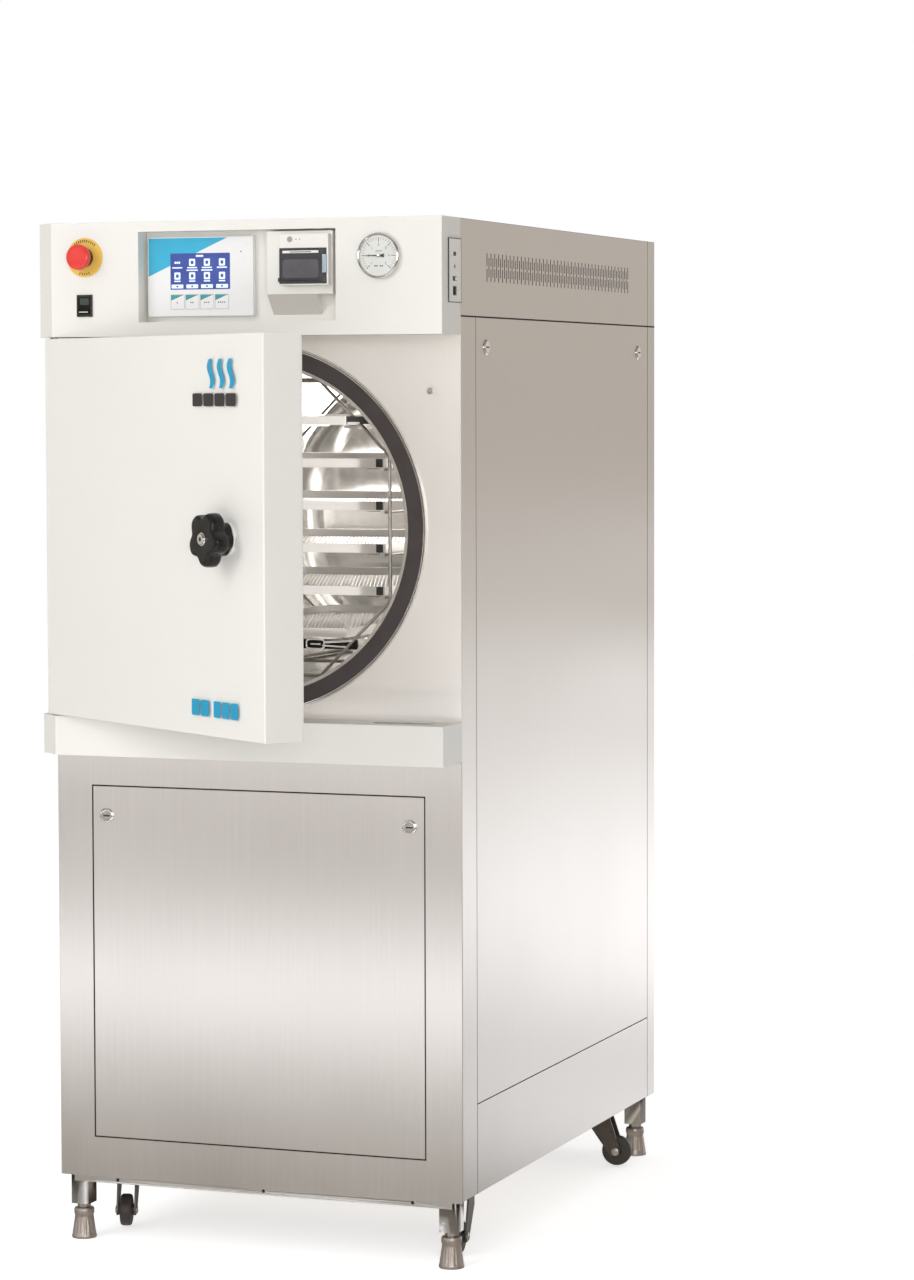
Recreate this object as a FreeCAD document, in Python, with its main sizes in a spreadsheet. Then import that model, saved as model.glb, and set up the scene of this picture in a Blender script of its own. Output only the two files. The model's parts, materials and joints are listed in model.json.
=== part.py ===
import FreeCAD, Part
import math
import os

import Sketcher

# A floor-standing 150 litre steam steriliser: a sheet-metal cabinet on levelling feet and castors,
# a round pressure chamber with six trays, and a hinged door locked by two bolts on a star knob.
#
# The model is drawn in cabinet sizes: X from the left side, Y into the depth from the front plate,
# Z up from the underside of the body. Each sub-part is then placed in the row's frame.

os.makedirs("parts", exist_ok=True)
doc = FreeCAD.newDocument("steam_steriliser")
Vector = FreeCAD.Vector
Rotation = FreeCAD.Rotation
Placement = FreeCAD.Placement

# ---------------------------------------------------------------------------- driving sizes, mm
SIZES = {
    # cabinet
    "width": 690, "depth": 985, "body_top": 1521, "ground": -106, "skin": 1.5, "fold": 12,
    "side_low": 3, "skirt_top": 144, "panel_low": 145, "panel_high": 1371, "hood_low": 1372,
    "front_strip": 66.5, "rear_strip": 945, "seam": 1,
    # front housings
    "stand": 80, "wall": 2, "bevel_across": 36, "bevel_deep": 32,
    "sill_low": 686, "sill_top": 748, "fascia_low": 1343,
    # lower front
    "opening_left": 60, "opening_right": 630, "opening_low": 64, "opening_high": 632,
    # base
    "ring_left": 13, "ring_right": 677, "ring_front": 10, "ring_rear": 975, "tube": 36,
    "tube_wall": 3, "leg": 30, "leg_drop": 49, "castor_left": 53, "castor_right": 637,
    "castor_front": 140, "castor_rear": 845, "trail": 28, "wheel_radius": 26, "axle_drop": 77,
    "kingpin": 5, "axle_radius": 4,
    # stand under the chamber
    "post": 30, "post_left": 14, "post_right": 676, "post_front": 14, "post_rear": 971,
    "rail_low": 700, "rail_high": 730, "saddle_front": 120, "saddle_rear": 640,
    # chamber
    "chamber_across": 345, "chamber_up": 1044, "bore": 255, "rim": 289, "shell": 5,
    "chamber_end": 760, "jacket": 296,
    # rack and trays
    "rod": 2.75, "rack_front": 28, "rack_rear": 652, "corner_wide": 216, "corner_mid": 113,
    "corner_in": 98, "corner_high": 231, "tray_front": 24, "tray_rear": 648, "lip": 14,
    "tray_wide": 211, "tray_narrow": 146, "first_tray": 168, "tray_pitch": 66.2,
    # door
    "hinge_across": 30, "hinge_deep": -60, "door_left": 3, "door_right": 687, "door_low": 750.5,
    "door_high": 1340.5, "door_rear": -16, "plate_face": -6.2, "rest_angle": 35,
    "pin_radius": 6, "running": 0.06,
    "knob_across": 588, "knob_up": 1043, "shaft_radius": 10, "module": 2, "teeth": 16,
    "bar_front": -38, "bar_rear": -28, "bar_width": 9.5,
    # controls
    "recess_left": 186, "recess_right": 517, "recess_low": 1365, "recess_high": 1505,
    "recess_floor": -46, "stop_across": 94.5, "stop_up": 1466.5, "switch_across": 94,
    "switch_up": 1391.5, "gauge_across": 589, "gauge_up": 1462, "gauge_radius": 35,
    "printer_left": 426, "printer_right": 507,
    # rear connections
    "stub_end": 1005, "stub_up": 110, "inlet_across": 230, "drain_across": 450,
    "inlet_radius": 10.5, "drain_radius": 13.5, "collar": 4, "weld_gap": 0.2,
    "vent_across": 345, "vent_up": 1200, "gland_across": 560,
    # machinery
    "generator_across": 170, "generator_deep": 560, "outlet_deep": 200,
}


class Size:
    """A length that carries its formula over the sheet together with its value."""

    def __init__(self, text, value):
        self.text = text
        self.value = value

    def combined(self, sign, other, value):
        return Size(f"({self.text} {sign} {size(other).text})", value)

    def __add__(self, other):
        return self.combined("+", other, self.value + size(other).value)

    def __radd__(self, other):
        return size(other) + self

    def __sub__(self, other):
        return self.combined("-", other, self.value - size(other).value)

    def __rsub__(self, other):
        return size(other) - self

    def __mul__(self, other):
        return self.combined("*", other, self.value * size(other).value)

    def __rmul__(self, other):
        return size(other) * self

    def __truediv__(self, other):
        return self.combined("/", other, self.value / size(other).value)

    def __neg__(self):
        return 0 - self


def size(thing):
    """The same length as a Size, whether it came as a number or as a Size."""
    return thing if isinstance(thing, Size) else Size(f"{thing:.8g}", thing)


class Driven:
    """The spreadsheet's cells by name."""


sheet = doc.addObject("Spreadsheet::Sheet", "Sizes")
d = Driven()
for row, (alias, number) in enumerate(SIZES.items(), start=1):
    sheet.set(f"A{row}", alias)
    sheet.set(f"B{row}", str(number))
    sheet.setAlias(f"B{row}", alias)
    setattr(d, alias, Size(f"Sizes.{alias}", number))
doc.recompute()

# ---------------------------------------------------------------------------- building helpers
AXES = {"x": Rotation(Vector(0, 1, 0), 90), "y": Rotation(Vector(1, 0, 0), -90), "z": Rotation()}
sub_parts = []


def new(kind, name="piece"):
    return doc.addObject(kind, name)


def bind(thing, prop, length):
    thing.setExpression(prop, size(length).text)


def move_to(thing, start):
    for axis, length in zip("xyz", start):
        bind(thing, f"Placement.Base.{axis}", length)


def block(x0, x1, y0, y1, z0, z1):
    """A box between six limits."""
    box = new("Part::Box", "block")
    for prop, low, high in (("Length", x0, x1), ("Width", y0, y1), ("Height", z0, z1)):
        bind(box, prop, size(high) - low)
    move_to(box, (x0, y0, z0))
    return box


def rod(axis, start, radius, length):
    """A round bar from a point along one axis."""
    bar = new("Part::Cylinder", "rod")
    bar.Placement = Placement(Vector(), AXES[axis])
    bind(bar, "Radius", radius)
    bind(bar, "Height", length)
    move_to(bar, start)
    return bar


def ball(centre, radius):
    sphere = new("Part::Sphere", "ball")
    bind(sphere, "Radius", radius)
    move_to(sphere, centre)
    return sphere


def joined(*things):
    whole = new("Part::MultiFuse", "joined")
    whole.Shapes = list(things)
    return whole


def group(*things):
    """Separate solids kept together in one node."""
    whole = new("Part::Compound", "group")
    whole.Links = list(things)
    return whole


def without(base, *tools):
    cut = new("Part::Cut", "cut")
    cut.Base = base
    cut.Tool = tools[0] if len(tools) == 1 else joined(*tools)
    return cut


def square_tube(x0, x1, y0, y1, z0, z1, along):
    """A hollow square tube between six limits, open at both ends along one axis."""
    limits = [x0, x1, y0, y1, z0, z1]
    inner = []
    for index, axis in enumerate("xyz"):
        step = -1 if axis == along else d.tube_wall
        inner += [limits[2 * index] + step, limits[2 * index + 1] - step]
    return without(block(*limits), block(*inner))


def drawn(body, plane, shift, points):
    """A closed outline of straight lines on one of a body's own planes, every corner driven."""
    sketch = body.newObject("Sketcher::SketchObject", "outline")
    origin_plane = [f for f in body.Origin.OriginFeatures if f.Role == plane][0]
    sketch.AttachmentSupport = (origin_plane, [""])
    sketch.MapMode = "FlatFace"
    for axis, length in zip("xyz", shift):
        bind(sketch, f"AttachmentOffset.Base.{axis}", length)
    corners = [Vector(size(u).value, size(v).value, 0) for u, v in points]
    count = len(corners)
    for index in range(count):
        sketch.addGeometry(Part.LineSegment(corners[index], corners[(index + 1) % count]), False)
    for index in range(count):
        sketch.addConstraint(Sketcher.Constraint("Coincident", index, 2, (index + 1) % count, 1))
    for index, point in enumerate(points):
        for kind, length in zip(("DistanceX", "DistanceY"), point):
            driven = Sketcher.Constraint(kind, index, 1, float(size(length).value))
            bind(sketch, f"Constraints[{sketch.addConstraint(driven)}]", length)
    return sketch


def upright(points, low, high):
    """A prism with a plan outline, between two heights."""
    body = new("PartDesign::Body", "prism")
    sketch = drawn(body, "XY_Plane", (0, 0, low), points)
    pad = body.newObject("PartDesign::Pad", "pad")
    pad.Profile = sketch
    bind(pad, "Length", size(high) - low)
    return body


def crosswise(points, left, right):
    """A prism with a side outline in depth and height, between two positions across."""
    body = new("PartDesign::Body", "prism")
    sketch = drawn(body, "YZ_Plane", (0, 0, left), points)
    pad = body.newObject("PartDesign::Pad", "pad")
    pad.Profile = sketch
    bind(pad, "Length", size(right) - left)
    return body


def facing(points, front, rear):
    """A prism with a front outline across and up, between two depths."""
    body = new("PartDesign::Body", "prism")
    sketch = drawn(body, "XZ_Plane", (0, 0, -size(rear)), points)
    pad = body.newObject("PartDesign::Pad", "pad")
    pad.Profile = sketch
    bind(pad, "Length", size(rear) - front)
    return body


def turned(axis, centre, points):
    """A turned piece about an upright (z) or a front-to-back (y) axis, from (radius, along) pairs."""
    body = new("PartDesign::Body", "turned")
    x, y, z = centre
    if axis == "z":
        sketch = drawn(body, "XZ_Plane", (x, z, -size(y)), points)
    else:
        sketch = drawn(body, "XY_Plane", (x, y, z), points)
    turn = body.newObject("PartDesign::Revolution", "turn")
    turn.Profile = sketch
    turn.ReferenceAxis = (sketch, ["V_Axis"])
    turn.Angle = 360
    return body


def round_edge(body, radius, along, fillet):
    """Rounds the circular edge of a piece turned about Y that has this radius and this depth."""
    doc.recompute()
    tip = body.Tip
    names = []
    for index, edge in enumerate(tip.Shape.Edges, start=1):
        curve = edge.Curve
        if isinstance(curve, Part.Circle) and abs(curve.Radius - radius.value) < 0.1:
            if abs(curve.Center.y - along.value) < 0.1:
                names.append(f"Edge{index}")
    rounding = body.newObject("PartDesign::Fillet", "rounding")
    rounding.Base = (tip, names)
    bind(rounding, "Radius", fillet)


def sub_part(label, thing, where):
    """Names a finished sub-part and puts it in its place."""
    thing.Label = label
    thing.Placement = where * thing.Placement
    sub_parts.append(thing)


# ---------------------------------------------------------------------------- places in the row
opening = math.radians(d.rest_angle.value)
door_reach = d.door_right.value - d.hinge_across.value
skin_reach = d.stand.value + d.hinge_deep.value
door_tip = (
    d.hinge_deep.value - door_reach * math.sin(opening) - skin_reach * math.cos(opening)
)
mid_depth = (door_tip + d.stub_end.value) / 2
CABINET = Placement(Vector(-d.width.value / 2, -mid_depth, -d.ground.value), Rotation())
HINGE = Vector(d.hinge_across.value, d.hinge_deep.value, 0)
DOOR = CABINET * Placement(Vector(), Rotation(Vector(0, 0, 1), -d.rest_angle.value), HINGE)
mirror = {"left": lambda x: size(x), "right": lambda x: d.width - x}


# ---------------------------------------------------------------------------- base and stand
def base_frame():
    """Welded ring of square tube with legs, cross rails, a shelf and the castor plates."""
    left, right, front, rear = d.ring_left, d.ring_right, d.ring_front, d.ring_rear
    inner_left, inner_right = left + d.tube, right - d.tube
    pieces = [
        square_tube(left, inner_left, front, rear, 0, d.tube, "y"),
        square_tube(inner_right, right, front, rear, 0, d.tube, "y"),
        square_tube(inner_left, inner_right, front, front + d.tube, 0, d.tube, "x"),
        square_tube(inner_left, inner_right, rear - d.tube, rear, 0, d.tube, "x"),
    ]
    for middle in (d.castor_front, d.castor_rear):
        low, high = middle - d.tube / 2, middle + d.tube / 2
        pieces.append(square_tube(inner_left, inner_right, low, high, 0, d.tube, "x"))
    stem_bore, sole_thick = 8.1, 6
    for x in (left, right - d.leg):
        for y in (front, rear - d.leg):
            leg = square_tube(x, x + d.leg, y, y + d.leg, -d.leg_drop, 0, "z")
            sole = block(x, x + d.leg, y, y + d.leg, -d.leg_drop, sole_thick - d.leg_drop)
            stem_at = (x + d.leg / 2, y + d.leg / 2, -d.leg_drop - 1)
            bore = rod("z", stem_at, stem_bore, sole_thick + 2)
            pieces.append(joined(leg, without(sole, bore)))
    plate_half, plate_thick = 30, 4
    pin_low, pin_high, pin_head = -16, -3, 2
    for x in (d.castor_left, d.castor_right):
        for y in (d.castor_front, d.castor_rear):
            pieces.append(block(
                x - plate_half, x + plate_half, y - plate_half, y + plate_half, -plate_thick, 0
            ))
            pieces.append(rod("z", (x, y, pin_low), d.kingpin, pin_high - pin_low))
            pieces.append(rod("z", (x, y, pin_low - pin_head), d.kingpin + 3, pin_head))
    shelf_front, shelf_rear, shelf_thick = 300, 863, 2
    pieces.append(block(
        inner_left - 5, inner_right + 5, shelf_front, shelf_rear, d.tube, d.tube + shelf_thick
    ))
    apron_thick, apron_low, apron_high, screw_up, screw_hole = 3, -11, 30, -5, 3
    apron = block(20, 670, front - apron_thick, front, apron_low, apron_high)
    holes = [rod("y", (x, front - apron_thick - 1, screw_up), screw_hole, apron_thick + 2)
             for x in (97, 351, 604)]
    pieces.append(without(apron, *holes))
    sub_part("base_frame", joined(*pieces), CABINET)


def vessel_stand():
    """Table-like stand of square tube with two saddles for the chamber."""
    left, right, front, rear = d.post_left, d.post_right, d.post_front, d.post_rear
    pieces = []
    for x in (left, right - d.post):
        for y in (front, rear - d.post):
            pieces.append(square_tube(x, x + d.post, y, y + d.post, d.tube, d.rail_low, "z"))
        pieces.append(square_tube(x, x + d.post, front, rear, d.rail_low, d.rail_high, "y"))
    inner_left, inner_right = left + d.post, right - d.post
    for y in (front, rear - d.post, d.saddle_front, d.saddle_rear):
        pieces.append(square_tube(
            inner_left, inner_right, y, y + d.post, d.rail_low, d.rail_high, "x"
        ))
    saddle_half, saddle_rise, clearance = 150, 60, 0.3
    middle = d.chamber_across
    for y in (d.saddle_front, d.saddle_rear):
        pad = block(
            middle - saddle_half, middle + saddle_half, y, y + d.post,
            d.rail_high, d.rail_high + saddle_rise,
        )
        hollow = rod("y", (middle, y - 1, d.chamber_up), d.jacket + clearance, d.post + 2)
        pieces.append(without(pad, hollow))
    sub_part("vessel_stand", joined(*pieces), CABINET)


def levelling_foot(label, x, y):
    """Bell-shaped foot on a threaded stem, with its lock nut."""
    stem, stem_top, nut, nut_top, nut_low, base = 8, -15, 11, -49.2, -56, 20
    foot = turned("z", (x, y, 0), [
        (0, stem_top), (stem, stem_top), (stem, nut_top), (nut, nut_top), (nut, nut_low),
        (15, -57), (16.2, -59), (16.2, -66), (15, -68), (18.4, -96), (base, -101),
        (base, d.ground), (0, d.ground),
    ])
    sub_part(label, foot, CABINET)


def castor(name, x, y, trail_x, trail_y):
    """Swivel castor: a fork on the plate's pin and a wheel on the fork's axle."""
    turn = math.degrees(math.atan2(trail_x, -trail_y))
    where = CABINET * Placement(Vector(x.value, y.value, 0), Rotation(Vector(0, 0, 1), turn))
    axle = -d.axle_drop
    top, disc_thick, disc_radius = -14, 9, 22
    cheek_in, cheek_thick, bolt_reach = 13, 3, 18
    cheek_profile = [
        (17, top), (-17, top), (-36, axle + 6), (-36, axle - 8), (-20, axle - 8), (-12, axle + 2),
        (17, -34),
    ]
    disc = without(
        rod("z", (0, 0, top), disc_radius, disc_thick),
        rod("z", (0, 0, top - 1), d.kingpin + d.running, disc_thick + 3),
    )
    fork = joined(
        disc,
        crosswise(cheek_profile, cheek_in, cheek_in + cheek_thick),
        crosswise(cheek_profile, -cheek_in - cheek_thick, -cheek_in),
        rod("x", (-bolt_reach, -d.trail, axle), d.axle_radius, 2 * bolt_reach),
    )
    sub_part(f"{name}_castor_fork", fork, where)
    tread_half, hub_half, hub_radius = 9, 12.6, 9
    tyre = joined(
        rod("x", (-tread_half, -d.trail, axle), d.wheel_radius, 2 * tread_half),
        rod("x", (-hub_half, -d.trail, axle), hub_radius, 2 * hub_half),
    )
    bore = rod("x", (-hub_half - 1, -d.trail, axle), d.axle_radius + d.running, 2 * hub_half + 2)
    sub_part(f"{name}_castor_wheel", without(tyre, bore), where)


# ---------------------------------------------------------------------------- cabinet skins
def flanged_pan(limits, outer, depth):
    """A sheet panel on one outer face with four folded edges; outer is "left", "right" or "front"."""
    low_a, high_a, low_z, high_z = limits
    skin = d.skin
    if outer == "front":
        whole = block(low_a, high_a, 0, depth, low_z, high_z)
        inner = block(
            low_a + skin, high_a - skin, skin, size(depth) + 1, low_z + skin, high_z - skin
        )
        return without(whole, inner)
    flip = mirror[outer]
    spans = [sorted((flip(a), flip(b)), key=lambda s: s.value)
             for a, b in ((0, depth), (skin, size(depth) + 1))]
    whole = block(*spans[0], low_a, high_a, low_z, high_z)
    inner = block(*spans[1], low_a + skin, high_a - skin, low_z + skin, high_z - skin)
    return without(whole, inner)


LOCK_BORE = 6
side_lock_up = 1325
side_lock_depths = (114, 888)
front_lock_up = 583
front_lock_across = (86, 604)


def side_skins():
    """Corner posts, skirts and the two removable side panels."""
    skin, fold = d.skin, d.fold
    posts = []
    for flip in mirror.values():
        def slab(a, b, y0, y1, flip=flip):
            low, high = sorted((flip(a), flip(b)), key=lambda s: s.value)
            return block(low, high, y0, y1, d.side_low, d.panel_high)
        return_leg = 40
        posts.append(joined(
            slab(0, skin, 1.6, d.front_strip),
            slab(skin, fold, d.front_strip - skin, d.front_strip),
            slab(skin, return_leg, 1.6, 1.6 + skin),
        ))
        posts.append(joined(
            slab(0, skin, d.rear_strip, d.depth),
            slab(skin, fold, d.rear_strip, d.rear_strip + skin),
            slab(skin, return_leg, d.depth - 3.1, d.depth - 1.6),
        ))
    sub_part("corner_posts", group(*posts), CABINET)
    front, rear = d.front_strip + d.seam, d.rear_strip - d.seam
    skirts = [flanged_pan((front, rear, d.side_low, d.skirt_top), s, fold) for s in mirror]
    sub_part("side_skirts", group(*skirts), CABINET)
    for side in mirror:
        panel = flanged_pan((front, rear, d.panel_low, d.panel_high), side, fold)
        if side == "right":
            holes = [rod("x", (d.width - 3, y, side_lock_up), LOCK_BORE, 5)
                     for y in side_lock_depths]
            panel = without(panel, *holes)
        sub_part(f"{side}_side_panel", panel, CABINET)


def vent_slots(x0, x1):
    """Both sides' ventilation slots: pairs of slots with a single slot between each two pairs."""
    first, last, columns = 119, 831, 41
    wide, short, tall, single_low = 3.4, 20, 30, 1434
    pitch = (last - first) / (columns - 1)
    slots = []
    for column in range(columns):
        y = first + column * pitch
        for low in (1427, 1451):
            slots.append(Part.makeBox(x1 - x0, wide, short, Vector(x0, y - wide / 2, low)))
        if column < columns - 1:
            start = Vector(x0, y + (pitch - wide) / 2, single_low)
            slots.append(Part.makeBox(x1 - x0, wide, tall, start))
    field = new("Part::Feature", "slot_field")
    field.Shape = Part.makeCompound(slots)
    return field


def outer_skins():
    """Top hood with its vents, rear panel, lower front frame, service panel and front plate."""
    skin = d.skin
    width = d.width
    shell = without(
        block(0, width, 0, d.depth, d.hood_low, d.body_top),
        block(skin, width - skin, -1, d.depth + 1, d.hood_low - 1, d.body_top - skin),
    )
    lips = [
        block(skin, d.fold, 2, d.depth - 3, d.hood_low, d.hood_low + skin),
        block(width - d.fold, width - skin, 2, d.depth - 3, d.hood_low, d.hood_low + skin),
    ]
    hood = without(joined(shell, *lips), vent_slots(-1, width.value + 1))
    sub_part("hood", hood, CABINET)

    rear = block(1.7, width - 1.7, d.depth - skin, d.depth, d.side_low, d.body_top - 1.7)
    gland_radius, clearance = 12, 0.3
    places = [
        (d.inlet_across, d.stub_up, d.inlet_radius), (d.drain_across, d.stub_up, d.drain_radius),
        (d.vent_across, d.vent_up, d.inlet_radius), (d.gland_across, d.stub_up, gland_radius),
    ]
    bores = [rod("y", (x, d.depth - 3, z), radius + clearance, 5) for x, z, radius in places]
    sub_part("rear_panel", without(rear, *bores), CABINET)

    left, right = d.opening_left, d.opening_right
    low, high = d.opening_low, d.opening_high
    return_depth, fold_depth = 14, 6.5
    face = block(0, width, 0, skin, 0, d.sill_low)
    returns = block(left - skin, right + skin, 0, return_depth, low - skin, high + skin)
    bottom_fold = block(0, width, skin, fold_depth, 0, skin)
    frame = without(
        joined(face, returns, bottom_fold), block(left, right, -1, return_depth + 1, low, high)
    )
    sub_part("lower_front_frame", frame, CABINET)

    gap = 2
    panel = flanged_pan((left + gap, right - gap, low + gap, high - gap), "front", d.fold)
    holes = [rod("y", (x, -1, front_lock_up), LOCK_BORE, 5) for x in front_lock_across]
    sub_part("service_panel", without(panel, *holes), CABINET)

    plate = block(0, width, 0, skin, d.sill_low + 1, d.panel_high)
    ring_hole = rod("y", (d.chamber_across, -1, d.chamber_up), d.rim + 0.3, 4)
    pin_across, pin_up, pin, pin_head = 644, 1257, 3, 5
    stop_pin = joined(
        rod("y", (pin_across, -8, pin_up), pin, 8),
        rod("y", (pin_across, -12, pin_up), pin_head, 4),
    )
    sub_part("front_plate", joined(without(plate, ring_hole), stop_pin), CABINET)


def quarter_turn_lock(label, place_at, outward, towards, reach):
    """Quarter-turn lock: a slotted head outside, a barrel through the panel and a cam behind it."""
    head = without(
        turned("z", (0, 0, 0), [(0, 0.15), (12, 0.15), (12, 1.2), (9, 3), (0, 3)]),
        block(-7, 7, -1.1, 1.1, 1.6, 4),
    )
    barrel = rod("z", (0, 0, -21), LOCK_BORE - 0.05, 21.5)
    cam = block(-8, reach, -7, 7, -19.5, -16.5)
    nut = rod("z", (0, 0, -16.5), 9, 1)
    lock = joined(head, barrel, cam, nut)
    axes = Rotation(towards, outward.cross(towards), outward, "ZXY")
    sub_part(label, lock, CABINET * Placement(place_at, axes))


def panel_locks():
    front, side_reach, front_reach = Vector(0, -1, 0), 64, 40
    right = Vector(1, 0, 0)
    names = ("front_left_lock", "front_right_lock")
    for name, x, sign in zip(names, front_lock_across, (-1, 1)):
        quarter_turn_lock(name, Vector(x, 0, front_lock_up), front, right * sign, front_reach)
    names = ("side_front_lock", "side_rear_lock")
    for name, y, sign in zip(names, side_lock_depths, (1, -1)):
        place_at = Vector(d.width.value, y, side_lock_up)
        quarter_turn_lock(name, place_at, right, front * sign, side_reach)


# ---------------------------------------------------------------------------- front housings
def housing(low, high, right=None):
    """Closed front housing with the bevelled left corner, open to the cabinet at the back."""
    wall = d.wall
    right = d.width if right is None else right
    bevel_start = d.bevel_deep - d.stand
    outer = upright([
        (0, -0.2), (0, bevel_start), (d.bevel_across, -d.stand), (right, -d.stand), (right, -0.2),
    ], low, high)
    inner = upright([
        (wall, 1), (wall, bevel_start + 0.45 * wall), (d.bevel_across + 0.38 * wall, wall - d.stand),
        (right - wall, wall - d.stand), (right - wall, 1),
    ], size(low) + wall, size(high) - wall)
    return without(outer, inner)


def hinge_bush(low, high):
    bush_radius = 10.5
    return rod("z", (d.hinge_across, d.hinge_deep, low), bush_radius, size(high) - low)


def hinge_bore(low, high):
    return rod("z", (d.hinge_across, d.hinge_deep, low), d.pin_radius + d.running, size(high) - low)


def keeper_slot(low, high):
    left, right, front, rear = 556, 660, -46, -20
    return block(left, right, front, rear, low, high)


def fascia():
    """Control housing: recess with the printer console, and openings for every control."""
    shell = housing(d.fascia_low, d.body_top)
    left, right, low, high = d.recess_left, d.recess_right, d.recess_low, d.recess_high
    floor, wall = d.recess_floor, d.wall
    pan = block(left - wall, right + wall, wall - d.stand, floor + wall, low - wall, high + wall)
    recess = block(left, right, -d.stand - 1, floor, low, high)
    console_face, console_low = -72, 1406
    console = joined(
        crosswise([(floor, 1375), (console_face, console_low), (floor, console_low)], 400, 481),
        block(400, 509, console_face, floor, console_low, 1502),
    )
    body = joined(
        without(joined(shell, pan, hinge_bush(d.fascia_low + 1, 1372)), recess), console
    )
    front, behind = -d.stand - 1, wall - d.stand + 1
    cuts = [
        block(
            d.printer_left + 2, d.printer_right - 2, console_face - 1, floor + wall + 1, 1422, 1494
        ),
        block(198, 363, floor - 1, floor + wall + 1, 1382, 1490),
        rod("y", (d.gauge_across, front, d.gauge_up), 30.3, 4),
        rod("y", (d.stop_across, front, d.stop_up), 11.3, 4),
        block(
            d.switch_across - 11, d.switch_across + 11, front, behind,
            d.switch_up - 14, d.switch_up + 14,
        ),
        block(d.width - 3, d.width + 1, -50, -6, 1396, 1484),
        keeper_slot(d.fascia_low - 1, d.fascia_low + wall + 1),
        hinge_bore(d.fascia_low - 1, 1374),
    ]
    sub_part("fascia", without(body, *cuts), CABINET)


def sill():
    shell = housing(d.sill_low, d.sill_top)
    body = joined(shell, hinge_bush(722, d.sill_top - 1))
    cuts = [
        keeper_slot(d.sill_top - d.wall - 1, d.sill_top + 1),
        hinge_bore(720, d.sill_top + 1),
    ]
    sub_part("sill", without(body, *cuts), CABINET)


# ---------------------------------------------------------------------------- controls
def touch_panel():
    front = joined(
        block(191, 370, -56, d.recess_floor, 1374, 1497),
        block(199, 362, d.recess_floor, -20, 1383, 1489),
    )
    sub_part("touch_panel", front, CABINET)


def printer():
    """Panel printer with its bezel, and the paper cover hinged along its lower edge."""
    face, hinge_up, hinge_y = -85, 1427, -87.2
    left, right = d.printer_left, d.printer_right
    window_left, window_right = left + 4, right - 10
    window = block(window_left, window_right, face - 1, -76, 1425, 1475)
    body = joined(
        block(left, right, face, -72, 1419, 1497),
        block(left + 3, right - 3, -72, -12, 1423, 1493),
    )
    lugs = [
        block(x, x + 3.5, -89.5, face, hinge_up - 3, hinge_up + 3)
        for x in (window_left - 4, window_right + 0.5)
    ]
    lever = block(right - 8.5, right - 3, face - 3.5, face, 1438, 1465)
    pin_radius, pin_end = 1.2, left + 0.2
    pin_length = window_right - window_left + 7.6
    pin_holes = [
        rod("x", (x, hinge_y, hinge_up), pin_radius + d.running, 4)
        for x in (pin_end - 0.4, window_right + 0.2)
    ]
    solid = joined(without(body, window), *lugs, lever)
    sub_part("printer_body", without(solid, *pin_holes), CABINET)
    cover = joined(
        block(window_left + 0.5, window_right - 0.5, -88.6, face - 0.4, hinge_up, 1474),
        rod("x", (window_left, hinge_y, hinge_up), 1.8, window_right - window_left),
        rod("x", (pin_end, hinge_y, hinge_up), pin_radius, pin_length),
    )
    sub_part("printer_cover", cover, CABINET)


def pressure_gauge():
    """Round gauge set into the fascia, and its needle on a small arbor."""
    x, z = d.gauge_across, d.gauge_up
    body, back, dial, bezel = 30, -35, -83.2, -88
    flange = -0.05 - d.stand
    case = turned("y", (x, 0, z), [
        (0, back), (body, back), (body, flange), (d.gauge_radius, flange),
        (d.gauge_radius, bezel + 2), (33, bezel), (31, bezel), (31, dial), (0, dial),
    ])
    arbor = 2
    arbor_hole = rod("y", (x, -84, z), arbor + d.running, 12)
    sub_part("gauge_case", without(case, arbor_hole), CABINET)
    pointer, tail, half_wide = 24, 9, 0.9
    needle = joined(
        rod("y", (x, -85.6, z), 3.4, 1.4),
        rod("y", (x, -84.5, z), arbor, 10),
        block(x - pointer, x + tail, -85.4, -84.6, z - half_wide, z + half_wide),
    )
    sub_part("gauge_needle", needle, CABINET)


def port_plate():
    """Side connection plate: data socket, round jack, slide switch and square connector."""
    plate = joined(
        block(d.width, d.width + 2, -55, -1, 1391, 1489),
        block(d.width - 18, d.width, -48, -8, 1398, 1482),
    )
    outside = d.width + 3
    sockets = [
        block(d.width - 12, outside, -35, -22, 1462, 1468),
        rod("x", (d.width - 12, -28.5, 1446), 4, 15),
        block(d.width - 8, outside, -38, -19, 1424, 1431),
        block(d.width - 12, outside, -37, -20, 1402, 1416),
    ]
    sub_part("port_plate", without(plate, *sockets), CABINET)


def emergency_stop():
    """Yellow plate and collar with the contact block behind, and the red mushroom button."""
    x, z = d.stop_across, d.stop_up
    plate_radius, collar, collar_face, neck, stem = 30.5, 15, -93.4, 11.2, 8
    plate = joined(
        rod("y", (x, -d.stand - 2, z), plate_radius, 2),
        rod("y", (x, collar_face, z), collar, 12),
        rod("y", (x, -d.stand, z), neck, 30),
        block(x - 15, x + 15, -60, -34, z - 15, z + 15),
    )
    stem_hole = rod("y", (x, collar_face - 0.6, z), stem + d.running, 44)
    sub_part("estop_plate", without(plate, stem_hole), CABINET)
    cap, cap_back, cap_face = 20, -99, -111
    mushroom = turned("y", (x, 0, z), [
        (0, cap_face), (12, cap_face + 0.5), (18, cap_face + 3), (cap, cap_face + 6.5),
        (cap, cap_back), (0, cap_back),
    ])
    button = joined(mushroom, rod("y", (x, cap_back - 0.5, z), stem, 38))
    sub_part("estop_button", button, CABINET)


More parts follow.
